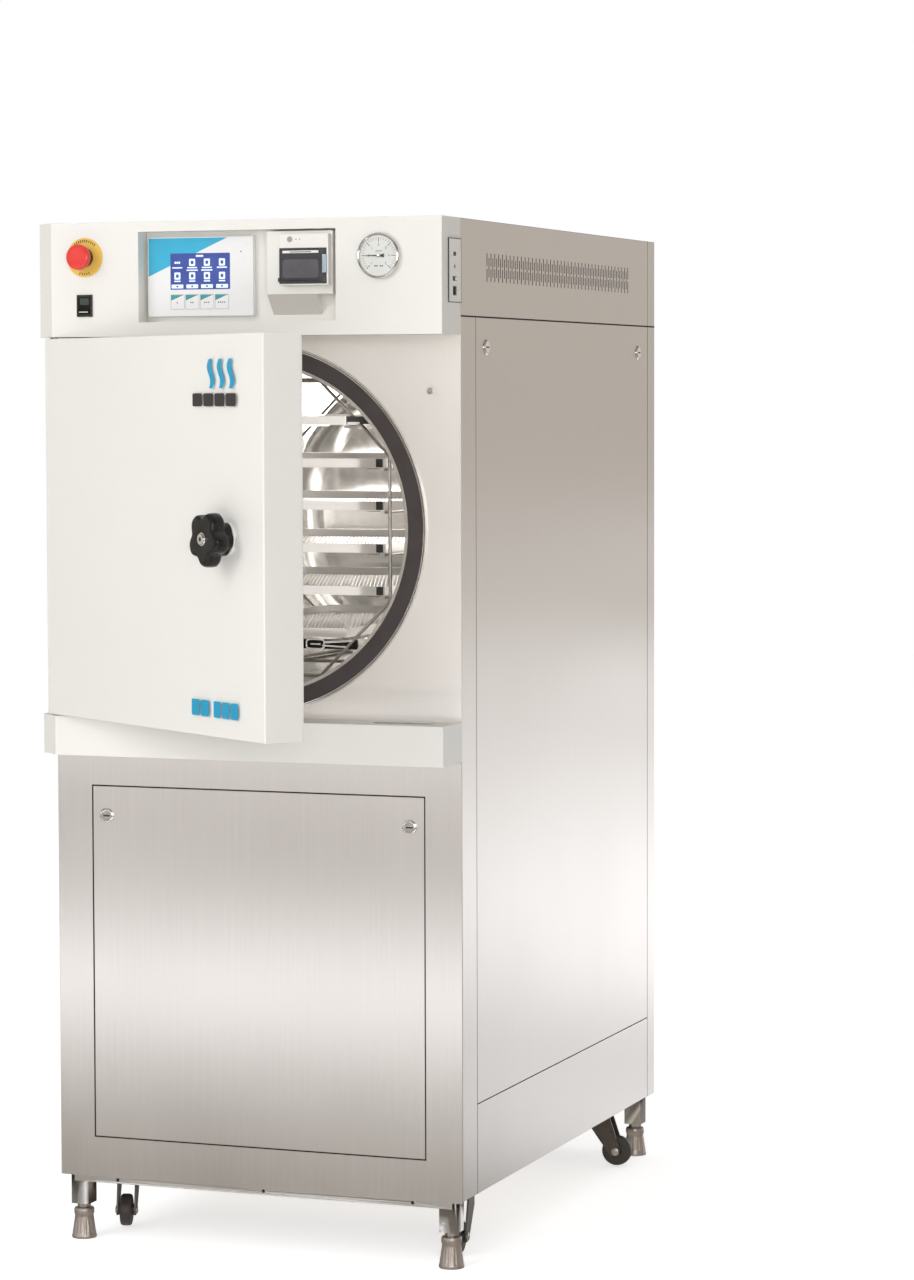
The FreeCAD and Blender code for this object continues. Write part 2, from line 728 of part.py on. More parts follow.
def power_switch():
    """Rocker switch: the snap-in frame and the rocker, resting tilted to one side."""
    x, z = d.switch_across, d.switch_up
    pivot, pin, pin_half, rest_tilt = -79, 1.5, 10.5, -8
    frame = joined(
        block(x - 13, x + 13, -83, -d.stand, z - 17, z + 17),
        block(x - 10.8, x + 10.8, -d.stand, -50, z - 13.8, z + 13.8),
    )
    well = block(x - 10, x + 10, -84, -58, z - 13, z + 13)
    pin_hole = rod("x", (x - pin_half - 0.1, pivot, z), pin + d.running, 2 * pin_half + 0.2)
    sub_part("switch_frame", without(frame, well, pin_hole), CABINET)
    profile = [(-3, 0), (-5.5, 11.8), (2, 11.8), (4, 0), (2, -11.8), (-5.5, -11.8)]
    half = 9.7
    pivot_pin = rod("x", (-pin_half, 0, 0), pin, 2 * pin_half)
    rocker = joined(crosswise(profile, -half, half), pivot_pin)
    tilt = Placement(Vector(x.value, pivot, z.value), Rotation(Vector(1, 0, 0), rest_tilt))
    sub_part("switch_rocker", rocker, CABINET * tilt)


# ---------------------------------------------------------------------------- chamber
def chamber():
    """Pressure vessel with its flanged mouth, the insulation round it and the door gasket."""
    centre = (d.chamber_across, 0, d.chamber_up)
    outer = d.bore + d.shell
    face, groove, groove_in, groove_out, flange_rear = -5, -1, 260, 285, 15
    vessel = turned("y", centre, [
        (d.bore, face), (groove_in, face), (groove_in, groove), (groove_out, groove),
        (groove_out, face), (d.rim, face), (d.rim, flange_rear), (outer, flange_rear),
        (outer, d.chamber_end), (0, d.chamber_end), (0, d.chamber_end - d.shell),
        (d.bore, d.chamber_end - d.shell),
    ])
    knuckle = 60
    round_edge(vessel, outer, d.chamber_end, knuckle + d.shell)
    round_edge(vessel, d.bore, d.chamber_end - d.shell, knuckle)
    sub_part("pressure_vessel", vessel, CABINET)

    lagging_start, lagging_end, clearance = 40, d.chamber_end + 35, 0.3
    lagging = turned("y", centre, [
        (outer + clearance, lagging_start), (d.jacket, lagging_start), (d.jacket, lagging_end),
        (0, lagging_end), (0, d.chamber_end + 2), (outer + clearance, d.chamber_end + 2),
    ])
    pipe_gap = 13
    holes = [
        rod("z", (d.chamber_across, d.generator_deep, 740), pipe_gap, 50),
        rod("z", (d.chamber_across, d.outlet_deep, 740), pipe_gap, 50),
        rod("y", (d.vent_across, d.chamber_end, d.vent_up), pipe_gap, 40),
    ]
    sub_part("insulation_jacket", without(lagging, *holes), CABINET)

    play, proud = 0.1, 0.5
    gasket = turned("y", centre, [
        (groove_in + play, face - proud), (groove_out - play, face - proud),
        (groove_out - play, groove), (groove_in + play, groove),
    ])
    sub_part("door_gasket", gasket, CABINET)


def tray_rack():
    """Octagonal wire rack of single bars: side bars in three frames, long rods and tray rails."""
    cx, cz, r, gap = d.chamber_across, d.chamber_up, d.rod, d.weld_gap
    wide, mid, inward, high = d.corner_wide, d.corner_mid, d.corner_in, d.corner_high
    corners = [
        (inward, high), (wide, mid), (wide, -mid), (inward, -high),
        (-inward, -high), (-wide, -mid), (-wide, mid), (-inward, high),
    ]
    front, rear = d.rack_front, d.rack_rear
    length = rear - front
    frames = (front + r, (front + rear) / 2, rear - r)
    clear = (r + gap).value
    bars = [rod("y", (cx + x, front, cz + z), r, length) for x, z in corners]
    for y in frames:
        for index, (x0, z0) in enumerate(corners):
            x1, z1 = corners[(index + 1) % 8]
            across, rise = (x1 - x0).value, (size(z1) - z0).value
            whole = math.hypot(across, rise)
            bar = new("Part::Cylinder", "side")
            bind(bar, "Radius", r)
            bar.Height = whole - 2 * clear
            bar.Placement = Placement(Vector(), Rotation(Vector(0, 0, 1), Vector(across, 0, rise)))
            share = clear / whole
            move_to(bar, (cx + x0 + across * share, y, cz + z0 + rise * share))
            bars.append(bar)
    for number in range(6):
        up = d.first_tray - d.tray_pitch * number
        rail_up = up - d.lip / 2 - r - 0.25
        narrow = number in (0, 5)
        reach = d.tray_narrow - r if narrow else wide - 2 * r - gap
        for side in (-1, 1):
            bars.append(rod("y", (cx + side * reach, front, cz + rail_up), r, length))
            if narrow:
                slant = wide + mid - reach - (rail_up if number == 0 else -rail_up)
                link = slant - r - gap - (r + gap) * math.sqrt(2) - r
                start = cx + reach + r + gap if side > 0 else cx - reach - r - gap - link
                bars += [rod("x", (start, y, cz + rail_up), r, link) for y in frames]
    sub_part("tray_rack", group(*bars), CABINET)


def tray(number):
    """Sheet tray with a lip all round; the top and bottom ones are narrower."""
    half = d.tray_narrow if number in (0, 5) else d.tray_wide
    middle = d.chamber_up + d.first_tray - d.tray_pitch * number
    low, high = middle - d.lip / 2, middle + d.lip / 2
    left, right = d.chamber_across - half, d.chamber_across + half
    sheet_thick = 1.2
    whole = block(left, right, d.tray_front, d.tray_rear, low, high)
    inner = block(
        left + sheet_thick, right - sheet_thick, d.tray_front + sheet_thick,
        d.tray_rear - sheet_thick, low + sheet_thick, high + 1,
    )
    sub_part(f"tray_{number + 1}", without(whole, inner), CABINET)


# ---------------------------------------------------------------------------- machinery inside
def pipe(points, radius):
    """A run of straight pipe along the axes with a fitting at each corner."""
    pieces = []
    for start, end in zip(points, points[1:]):
        for index, axis in enumerate("xyz"):
            travel = size(end[index]) - start[index]
            if abs(travel.value) > 1e-6:
                first = start if travel.value > 0 else end
                pieces.append(rod(axis, first, radius, travel if travel.value > 0 else -travel))
    pieces += [ball(point, radius + 4) for point in points[1:-1]]
    return pieces


def connection(across, start, up, radius):
    """A pipe out through the back: inner run, bulkhead collar and the bare stub behind it."""
    collar_start = d.depth + 0.2
    collar_end = collar_start + d.collar
    return [
        rod("y", (across, start, up), radius - 1, collar_start - start),
        rod("y", (across, collar_start, up), radius + 4, d.collar),
        rod("y", (across, collar_end, up), radius, d.stub_end - collar_end),
    ]


def machinery():
    """Steam generator, vacuum pump, control box and the pipes with their valves."""
    boiler_x, boiler_y = d.generator_across, d.generator_deep
    pump_x, pump_z = d.drain_across, d.stub_up
    boiler = turned("z", (boiler_x, boiler_y, 0), [
        (91, 38), (105, 38), (105, 42), (95, 42), (95, 400), (80, 430), (0, 440), (0, 436),
        (78, 426), (91, 398),
    ])
    cap = rod("z", (boiler_x, boiler_y, 438), 40, 52)
    sub_part("steam_generator", joined(boiler, cap), CABINET)

    pump = joined(
        rod("y", (pump_x, 430, pump_z), 62, 200),
        rod("y", (pump_x, 400, pump_z), 48, 40),
        block(pump_x - 50, pump_x + 50, 440, 620, 38, 60),
        block(pump_x + 40, pump_x + 80, 480, 560, pump_z + 10, pump_z + 60),
    )
    sub_part("vacuum_pump", pump, CABINET)

    under_vessel = d.chamber_up - d.bore - d.shell - 0.2
    middle = d.chamber_across
    steam = pipe([
        (boiler_x, boiler_y, 490.2), (boiler_x, boiler_y, 560),
        (middle, boiler_y, 560), (middle, boiler_y, under_vessel),
    ], 9)
    outlet_y, outlet_drop = d.outlet_deep, 170
    outlet = pipe([
        (middle, outlet_y, under_vessel), (middle, outlet_y, outlet_drop),
        (pump_x, outlet_y, outlet_drop), (pump_x, outlet_y, pump_z), (pump_x, 399.8, pump_z),
    ], 10)
    drain = connection(d.drain_across, 630.2, d.stub_up, d.drain_radius)
    feed = connection(d.inlet_across, 645, d.stub_up, d.inlet_radius)
    vent = connection(d.vent_across, d.chamber_end + 0.2, d.vent_up, d.inlet_radius)
    cord_bore = 6.5
    gland = without(
        joined(
            rod("y", (d.gland_across, 960, d.stub_up), 12, 40),
            rod("y", (d.gland_across, d.depth + 0.2, d.stub_up), 16, 8),
        ),
        rod("y", (d.gland_across, 955, d.stub_up), cord_bore, 60),
    )
    steam_valve = block(middle - 45, middle - 5, boiler_y - 20, boiler_y + 20, 540, 580)
    coil_radius, coil_length = 17, 45
    steam_coil = rod("z", (middle - 25, boiler_y, 580), coil_radius, coil_length)
    outlet_valve = block(middle - 20, middle + 20, outlet_y - 20, outlet_y + 20, 400, 440)
    outlet_coil = rod("x", (middle + 20, outlet_y, 420), coil_radius, coil_length)
    safety_valve = rod("z", (d.vent_across, 880, d.vent_up), 14, 70)
    pipes = group(
        joined(*steam, steam_valve, steam_coil),
        joined(*outlet, outlet_valve, outlet_coil),
        joined(*drain),
        joined(*feed),
        joined(*vent, safety_valve),
        gland,
    )
    sub_part("pipework", pipes, CABINET)

    plate_low, plate_high = 1360, 1362
    modules = [
        block(12.5, d.width - 12.5, 100, 400, plate_low, plate_high),
        block(60, 190, 130, 330, plate_high + 0.2, 1440),
        block(210, 470, 120, 150, plate_high + 0.2, 1420),
        block(210, 470, 190, 350, 1372, 1376),
        block(495, 640, 140, 240, plate_high + 0.2, 1452),
        block(495, 640, 270, 370, plate_high + 0.2, 1410),
    ]
    spacers = [
        rod("z", (x, y, plate_high + 0.2), 4, 9.6) for x in (220, 460) for y in (200, 340)
    ]
    sub_part("control_box", group(*modules, *spacers), CABINET)


# ---------------------------------------------------------------------------- door
def door_shell():
    """Deep door pressing with its pivot pins, knob bearing and bolt slots."""
    wall = d.wall
    left, right = d.door_left, d.door_right
    rear, front = d.door_rear, -d.stand
    bevel_start = d.bevel_deep - d.stand
    low, high = d.door_low, d.door_high
    outer = upright([
        (left, rear), (left, bevel_start), (d.bevel_across, front), (right, front), (right, rear),
    ], low, high)
    inner = upright([
        (left + wall, rear + 1), (left + wall, bevel_start + 0.45 * wall),
        (d.bevel_across + 0.38 * wall, front + wall), (right - wall, front + wall),
        (right - wall, rear + 1),
    ], low + wall, high - wall)
    x, z = d.knob_across, d.knob_up
    pin = d.pin_radius
    hinge = (d.hinge_across, d.hinge_deep)
    solid = joined(
        without(outer, inner),
        rod("z", (*hinge, low + 1), 9.5, 30),
        rod("z", (*hinge, high - 31), 9.5, 30),
        rod("z", (*hinge, low - 24), pin, 40),
        rod("z", (*hinge, high - 16), pin, 38),
        rod("y", (x, front - 4, z), 24, 5),
        rod("y", (x, front + 1, z), 19, 31),
    )
    cuts = [
        rod("y", (x, front - 5, z), d.shaft_radius + d.running, 40),
        block(558, 574, -40, -26, high - wall - 1, high + 1),
        block(602, 618, -40, -26, low - 1, low + wall + 1),
    ]
    sub_part("door_shell", without(solid, *cuts), DOOR)


def bolt_guide(x0, x1, z0):
    """A bracket on the back panel that holds a lock bar with a little play."""
    play, height, side = 0.3, 16, 4
    return without(
        block(x0 - side, x1 + side, d.bar_front - side, d.door_rear, z0, z0 + height),
        block(x0 - play, x1 + play, d.bar_front - play, d.bar_rear + play, z0 - 1, z0 + height + 1),
    )


upper_bar_left = d.knob_across - 28
lower_bar_left = d.knob_across + 28 - d.bar_width


def door_back_panel():
    """Back panel with its raised rim and the guides of the lock bars."""
    plate = block(3.5, 686.5, d.door_rear, -14, 751, 1340)
    rim = without(
        block(8, 682, -14, -10, 756, 1335), block(10, 680, -14.5, -9, 758, 1333)
    )
    guides = [bolt_guide(upper_bar_left, upper_bar_left + d.bar_width, z) for z in (1105, 1290)]
    guides += [bolt_guide(lower_bar_left, lower_bar_left + d.bar_width, z) for z in (785, 965)]
    sub_part("door_back_panel", joined(plate, rim, *guides), DOOR)


def pressure_plate():
    """Round plate that meets the gasket, dished in the middle and bolted to the back panel."""
    plate = turned("y", (d.chamber_across, 0, d.chamber_up), [
        (0, -13.95), (282, -13.95), (282, d.plate_face), (250, d.plate_face), (236, -10.5),
        (0, -10.5),
    ])
    sub_part("pressure_plate", plate, DOOR)


def door_knob():
    """Five-lobed knob on its neck."""
    x, z = d.knob_across, d.knob_up
    face, back = -124, -98
    lobes = []
    for index in range(5):
        angle = math.radians(90 + 72 * index)
        centre = (x + 28.5 * math.cos(angle), face + 1, z + 28.5 * math.sin(angle))
        lobes.append(rod("y", centre, 12.5, back - face - 1))
    solid = joined(
        rod("y", (x, face, z), 29, back - face), rod("y", (x, back, z), 17, 13.6), *lobes
    )
    bore = rod("y", (x, face - 1, z), d.shaft_radius, 50)
    sub_part("door_knob", without(solid, bore), DOOR)


def gear_outline(cx, cz, module, teeth):
    """Straight-flanked gear teeth, a little thin so that they run free."""
    pitch_radius = module * teeth / 2
    root, tip = pitch_radius - 1.2 * module, pitch_radius + 0.75 * module
    step = 2 * math.pi / teeth
    points = []
    for index in range(teeth):
        middle = index * step
        for radius, half in ((root, 0.31), (pitch_radius, 0.215), (tip, 0.11)):
            points.append((radius, middle - half * step))
        for radius, half in ((tip, 0.11), (pitch_radius, 0.215), (root, 0.31)):
            points.append((radius, middle + half * step))
    return [(cx + r * math.sin(a), cz + r * math.cos(a)) for r, a in points]


def lock_gear():
    """The knob's shaft with its pinion, and the two toothed bars that it drives."""
    x, z = d.knob_across, d.knob_up
    module = d.module.value
    pinion = facing(
        gear_outline(x.value, z.value, module, int(d.teeth.value)), d.bar_front, d.bar_rear
    )
    shaft = rod("y", (x, -124.5, z), d.shaft_radius, 100.5)
    head = rod("y", (x, -127, z), 8, 3)
    sub_part("lock_shaft", joined(shaft, head, pinion), DOOR)

    pitch_radius = d.module * d.teeth / 2
    tooth_step = math.pi * module

    def bar(label, body_left, pitch_line, side, z0, z1, first_tooth, count):
        rack = [block(body_left, body_left + d.bar_width, d.bar_front, d.bar_rear, z0, z1)]
        base_x, tip_x = pitch_line - side * 1.15 * module, pitch_line + side * 0.75 * module
        for index in range(count):
            middle = z + first_tooth + tooth_step * index
            rack.append(facing([
                (base_x - side * 3, middle - 0.30 * tooth_step), (base_x, middle - 0.30 * tooth_step),
                (tip_x, middle - 0.12 * tooth_step), (tip_x, middle + 0.12 * tooth_step),
                (base_x, middle + 0.30 * tooth_step), (base_x - side * 3, middle + 0.30 * tooth_step),
            ], d.bar_front, d.bar_rear))
        sub_part(label, joined(*rack), DOOR)

    half_step = tooth_step / 2
    bar("upper_lock_bar", upper_bar_left, x - pitch_radius, 1, 998, 1336,
        half_step - 7 * tooth_step, 9)
    bar("lower_lock_bar", lower_bar_left, x + pitch_radius, -1, 755, 1088,
        half_step - 3 * tooth_step, 9)


# ---------------------------------------------------------------------------- build and write
base_frame()
vessel_stand()
foot_left, foot_right = d.ring_left + d.leg / 2, d.ring_right - d.leg / 2
foot_front, foot_rear = d.ring_front + d.leg / 2, d.ring_rear - d.leg / 2
levelling_foot("front_left_foot", foot_left, foot_front)
levelling_foot("front_right_foot", foot_right, foot_front)
levelling_foot("rear_left_foot", foot_left, foot_rear)
levelling_foot("rear_right_foot", foot_right, foot_rear)
castor("front_left", d.castor_left, d.castor_front, 0.3, -0.95)
castor("front_right", d.castor_right, d.castor_front, 0.1, -0.99)
castor("rear_left", d.castor_left, d.castor_rear, -0.6, 0.8)
castor("rear_right", d.castor_right, d.castor_rear, 1, 0.1)
side_skins()
outer_skins()
panel_locks()
fascia()
sill()
touch_panel()
printer()
pressure_gauge()
port_plate()
emergency_stop()
power_switch()
chamber()
tray_rack()
for tray_number in range(6):
    tray(tray_number)
machinery()
door_shell()
door_back_panel()
pressure_plate()
door_knob()
lock_gear()
doc.recompute()

for item in doc.Objects:
    if "Invalid" in item.State or "Error" in item.State:
        raise RuntimeError(f"{item.Name} ({item.Label}) failed: {item.State}")
for item in sub_parts:
    if item.Shape.isNull() or not item.Shape.isValid():
        raise RuntimeError(f"{item.Label} has no valid shape")
for item in sub_parts:
    item.Shape.exportStep(f"parts/{item.Label}.step")
print(len(sub_parts), "sub-parts written")
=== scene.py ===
"""Floor-standing steam steriliser: the visual model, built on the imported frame."""

import json
import math

import bmesh
import bpy
from mathutils import Matrix, Vector

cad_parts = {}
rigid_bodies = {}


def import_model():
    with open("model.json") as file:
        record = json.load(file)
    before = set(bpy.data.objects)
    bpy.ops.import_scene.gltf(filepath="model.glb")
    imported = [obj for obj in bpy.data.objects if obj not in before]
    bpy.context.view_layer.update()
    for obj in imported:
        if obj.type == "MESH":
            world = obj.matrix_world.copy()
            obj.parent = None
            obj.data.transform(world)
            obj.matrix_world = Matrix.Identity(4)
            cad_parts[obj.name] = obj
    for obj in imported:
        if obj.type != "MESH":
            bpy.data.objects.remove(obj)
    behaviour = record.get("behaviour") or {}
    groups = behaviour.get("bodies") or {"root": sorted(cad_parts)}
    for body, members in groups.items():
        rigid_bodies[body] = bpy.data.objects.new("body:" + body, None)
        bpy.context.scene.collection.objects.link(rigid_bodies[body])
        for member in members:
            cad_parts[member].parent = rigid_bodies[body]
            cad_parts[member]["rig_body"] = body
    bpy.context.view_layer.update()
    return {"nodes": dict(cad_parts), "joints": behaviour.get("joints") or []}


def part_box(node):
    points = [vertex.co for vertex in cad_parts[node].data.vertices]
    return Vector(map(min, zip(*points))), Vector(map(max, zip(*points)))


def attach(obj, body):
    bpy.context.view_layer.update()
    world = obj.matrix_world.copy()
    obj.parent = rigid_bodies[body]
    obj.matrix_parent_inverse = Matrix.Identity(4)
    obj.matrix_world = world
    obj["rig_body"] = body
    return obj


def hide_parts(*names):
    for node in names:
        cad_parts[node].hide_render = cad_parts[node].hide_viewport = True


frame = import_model()
nodes = frame["nodes"]
joints = {joint["name"]: joint for joint in frame["joints"]}

# ------------------------------ placements
# Millimetres: x from the cabinet's left face, y back from its front, z up from its lower edge.
MILLIMETRE = 0.001
HOOD_TOP = 1521.0
low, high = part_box("hood")
BODY = Matrix.Translation((low.x, low.y, high.z - HOOD_TOP * MILLIMETRE)) @ Matrix.Scale(
    MILLIMETRE, 4
)
hinge = joints["door_hinge"]
pivot = Vector(hinge["pos_m"])
OPENED = Matrix.Rotation(math.radians(hinge["range_deg"][0]), 4, "Z")
DOOR = Matrix.Translation(pivot) @ OPENED @ Matrix.Translation(-pivot) @ BODY
scene = bpy.context.scene


def span(node, place=BODY):
    """Lowest and highest corner of a CAD node in millimetres, along the cabinet or the door."""
    back = place.inverted()
    points = [back @ vertex.co for vertex in nodes[node].data.vertices]
    lowest = Vector([min(p[i] for p in points) for i in range(3)])
    highest = Vector([max(p[i] for p in points) for i in range(3)])
    return lowest, highest


def middle_of(node, place=BODY):
    """Middle of a CAD node's box in millimetres."""
    return [(a + b) / 2 for a, b in zip(*span(node, place))]


# ------------------------------ materials
def new_material(name):
    """An empty Principled material, its tree and its shader."""
    material = bpy.data.materials.new(name)
    material.use_nodes = True
    tree = material.node_tree
    tree.nodes.clear()
    output = tree.nodes.new("ShaderNodeOutputMaterial")
    shader = tree.nodes.new("ShaderNodeBsdfPrincipled")
    tree.links.new(shader.outputs["BSDF"], output.inputs["Surface"])
    return material, tree, shader


def noise(tree, stretch, detail=3.0, rough=0.55):
    """Noise over the object's own coordinates, stretched per metre along each axis."""
    coordinates = tree.nodes.new("ShaderNodeTexCoord")
    mapping = tree.nodes.new("ShaderNodeMapping")
    mapping.inputs["Scale"].default_value = stretch
    texture = tree.nodes.new("ShaderNodeTexNoise")
    texture.inputs["Scale"].default_value = 1.0
    texture.inputs["Detail"].default_value = detail
    texture.inputs["Roughness"].default_value = rough
    tree.links.new(coordinates.outputs["Object"], mapping.inputs["Vector"])
    tree.links.new(mapping.outputs["Vector"], texture.inputs["Vector"])
    return texture.outputs["Fac"]


def blend_to(tree, value, dark, light, start=0.3, end=0.7):
    """A colour between dark and light, led by a value."""
    ramp = tree.nodes.new("ShaderNodeValToRGB")
    ramp.color_ramp.elements[0].position = start
    ramp.color_ramp.elements[1].position = end
    ramp.color_ramp.elements[0].color = (*dark, 1)
    ramp.color_ramp.elements[1].color = (*light, 1)
    tree.links.new(value, ramp.inputs["Fac"])
    return ramp.outputs["Color"]


def ranged(tree, value, least, most, start=0.3, end=0.7):
    """A value brought into another range."""
    limits = tree.nodes.new("ShaderNodeMapRange")
    limits.inputs["From Min"].default_value = start
    limits.inputs["From Max"].default_value = end
    limits.inputs["To Min"].default_value = least
    limits.inputs["To Max"].default_value = most
    tree.links.new(value, limits.inputs["Value"])
    return limits.outputs["Result"]


def surface(
    name, colour, roughness, metallic=0.0, vary=0.03, patch=14, grain=None, relief=0.0,
    relief_scale=900, spread=0.04, specular=0.5, **sockets,
):
    """Principled surface with its own colour drift, gloss drift and fine relief.

    grain is the stretch of brushed metal per metre; without it the relief is even all round."""
    material, tree, shader = new_material(name)
    shader.inputs["Metallic"].default_value = metallic
    fine = grain or (relief_scale,) * 3
    drift = noise(tree, (patch,) * 3, 4.0)
    lines = noise(tree, fine, 3.0, 0.6)
    mixed = tree.nodes.new("ShaderNodeMix")
    mixed.inputs["Factor"].default_value = 0.65 if grain else 0.25
    tree.links.new(drift, mixed.inputs["A"])
    tree.links.new(lines, mixed.inputs["B"])
    level = mixed.outputs["Result"]
    dark = [c * (1 - vary) for c in colour]
    light = [min(1.0, c * (1 + vary)) for c in colour]
    tree.links.new(blend_to(tree, level, dark, light), shader.inputs["Base Color"])
    glossy = ranged(tree, level, roughness - spread, roughness + spread)
    tree.links.new(glossy, shader.inputs["Roughness"])
    if relief:
        bump = tree.nodes.new("ShaderNodeBump")
        bump.inputs["Strength"].default_value = relief
        bump.inputs["Distance"].default_value = 0.0004
        tree.links.new(lines, bump.inputs["Height"])
        tree.links.new(bump.outputs["Normal"], shader.inputs["Normal"])
    shader.inputs["Specular IOR Level"].default_value = specular
    for socket, value in sockets.items():
        shader.inputs[socket.replace("_", " ").title()].default_value = value
    return material


UPRIGHT_GRAIN = (700, 700, 5)
ACROSS_GRAIN = (6, 900, 900)
panel_steel = surface(
    "brushed_panel_steel", (0.66, 0.612, 0.570), 0.33, 1.0, vary=0.05, patch=3,
    grain=UPRIGHT_GRAIN, relief=0.10, spread=0.05,
)
frame_steel = surface(
    "satin_frame_steel", (0.60, 0.57, 0.535), 0.36, 1.0, vary=0.04, patch=5,
    grain=UPRIGHT_GRAIN, relief=0.05,
)
front_steel = surface(
    "satin_front_steel", (0.965, 0.92, 0.875), 0.42, 0.45, vary=0.02, patch=4,
    grain=UPRIGHT_GRAIN, relief=0.04,
)
white_paint = surface(
    "white_powder_paint", (0.80, 0.785, 0.75), 0.38, vary=0.012, patch=6, relief=0.10,
    relief_scale=700, spread=0.03,
)
chamber_steel = surface(
    "polished_chamber_steel", (0.80, 0.78, 0.75), 0.20, 1.0, vary=0.05, patch=9,
    grain=(60, 8, 60), relief=0.15, spread=0.06,
)
tray_steel = surface(
    "satin_tray_steel", (0.80, 0.775, 0.745), 0.34, 1.0, vary=0.04, grain=ACROSS_GRAIN,
    relief=0.06,
)
mesh_steel = surface(
    "expanded_mesh_steel", (0.74, 0.71, 0.67), 0.34, 1.0, vary=0.10, patch=60, relief=0.1
)
wire_steel = surface(
    "rack_wire_steel", (0.36, 0.33, 0.31), 0.24, 1.0, vary=0.08, patch=40, relief=0.05
)
bright_steel = surface(
    "polished_fitting_steel", (0.78, 0.76, 0.73), 0.16, 1.0, vary=0.05, patch=120, relief=0.05
)
zinc_steel = surface(
    "zinc_plated_steel", (0.50, 0.47, 0.43), 0.34, 1.0, vary=0.16, patch=110, relief=0.2
)
fork_steel = surface(
    "dark_fork_steel", (0.13, 0.112, 0.096), 0.40, 1.0, vary=0.22, patch=90, relief=0.3
)
foot_steel = surface(
    "cast_foot_steel", (0.46, 0.40, 0.355), 0.46, 1.0, vary=0.14, patch=70,
    grain=(300, 300, 14), relief=0.25,
)
machine_steel = surface(
    "machine_steel", (0.50, 0.49, 0.47), 0.38, 1.0, vary=0.1, patch=20, relief=0.15
)
pipe_steel = surface(
    "drawn_pipe_steel", (0.62, 0.60, 0.57), 0.28, 1.0, vary=0.08, patch=30, relief=0.08
)
motor_paint = surface(
    "machine_enamel", (0.09, 0.13, 0.17), 0.42, vary=0.12, patch=24, relief=0.3,
    relief_scale=500,
)
lagging = surface(
    "foil_lagging", (0.62, 0.61, 0.59), 0.42, 0.6, vary=0.12, patch=26, relief=0.8,
    relief_scale=90,
)
gasket_rubber = surface(
    "gasket_rubber", (0.062, 0.050, 0.050), 0.55, vary=0.14, patch=25, relief=0.35,
    relief_scale=1500,
)
black_gloss = surface(
    "black_moulded_plastic", (0.010, 0.009, 0.008), 0.26, vary=0.3, patch=60, relief=0.06,
    relief_scale=400, specular=0.28,
)
black_plastic = surface(
    "black_matt_plastic", (0.022, 0.021, 0.020), 0.42, vary=0.25, patch=80, relief=0.3,
    relief_scale=2500,
)
tyre_rubber = surface(
    "castor_tyre", (0.045, 0.036, 0.030), 0.50, vary=0.3, patch=90, relief=0.4,
    relief_scale=1200,
)


def film(name, colour, roughness, vary, patch, relief):
    """Smooth film or ink."""
    return surface(
        name, colour, roughness, vary=vary, patch=patch, relief=relief, relief_scale=2200
    )


membrane = film("panel_membrane", (0.84, 0.84, 0.84), 0.30, 0.01, 30, 0.08)
cyan_print = film("cyan_print", (0.0, 0.31, 0.53), 0.34, 0.05, 50, 0.08)
pale_cyan = film("pale_cyan_print", (0.04, 0.42, 0.64), 0.30, 0.08, 18, 0.06)
green_print = film("teal_print", (0.05, 0.33, 0.36), 0.34, 0.08, 60, 0.06)
dark_print = film("dark_print", (0.020, 0.018, 0.018), 0.36, 0.2, 80, 0.05)
grey_print = film("grey_print", (0.36, 0.35, 0.34), 0.40, 0.06, 80, 0.05)
# painted shade: a darker copy of the white powder paint for the console's downward-facing
# underside
painted_shade_paint = surface(
    "painted_shade_powder_paint", (0.63, 0.60, 0.56), 0.42, vary=0.012, patch=6, relief=0.10,
    relief_scale=700,
)
printer_white = surface(
    "printer_case_plastic", (0.82, 0.80, 0.76), 0.34, vary=0.015, patch=30, relief=0.25,
    relief_scale=2600,
)
smoked_plastic = surface(
    "smoked_cover_plastic", (0.035, 0.036, 0.042), 0.14, vary=0.22, patch=30, relief=0.04,
    relief_scale=900, coat_weight=0.4,
)
lever_plastic = surface(
    "lever_plastic", (0.33, 0.45, 0.56), 0.30, vary=0.06, patch=60, relief=0.2,
    relief_scale=2000,
)
chrome = surface(
    "chromed_bezel", (0.74, 0.72, 0.69), 0.10, 1.0, vary=0.04, patch=90, relief=0.03,
    spread=0.02,
)
dial_card = surface(
    "dial_card", (0.84, 0.83, 0.80), 0.50, vary=0.015, patch=70, relief=0.1,
    relief_scale=3000,
)
stop_yellow = surface(
    "yellow_plate_plastic", (0.80, 0.52, 0.10), 0.36, vary=0.05, patch=60, relief=0.15,
    relief_scale=1500,
)
stop_red = surface(
    "red_button_plastic", (0.74, 0.045, 0.035), 0.30, vary=0.06, patch=60, relief=0.10,
    relief_scale=1200, coat_weight=0.2,
)
switch_lens = surface(
    "green_switch_lens", (0.045, 0.060, 0.052), 0.16, vary=0.3, patch=150, relief=0.05,
    relief_scale=900, coat_weight=0.5,
)
smoked_bulge = surface(
    "smoked_cover_roll", (0.085, 0.080, 0.095), 0.24, vary=0.25, patch=22, relief=0.04,
    relief_scale=900, coat_weight=0.4,
)
pale_green = surface(
    "pale_green_edge", (0.42, 0.52, 0.38), 0.30, vary=0.08, patch=120, relief=0.05
)
dark_grey = surface(
    "dark_grey_seal", (0.13, 0.12, 0.115), 0.45, vary=0.12, patch=60, relief=0.15
)
seam_shade = surface(
    "seam_shade", (0.016, 0.013, 0.011), 0.8, vary=0.15, patch=40, relief=0.1
)


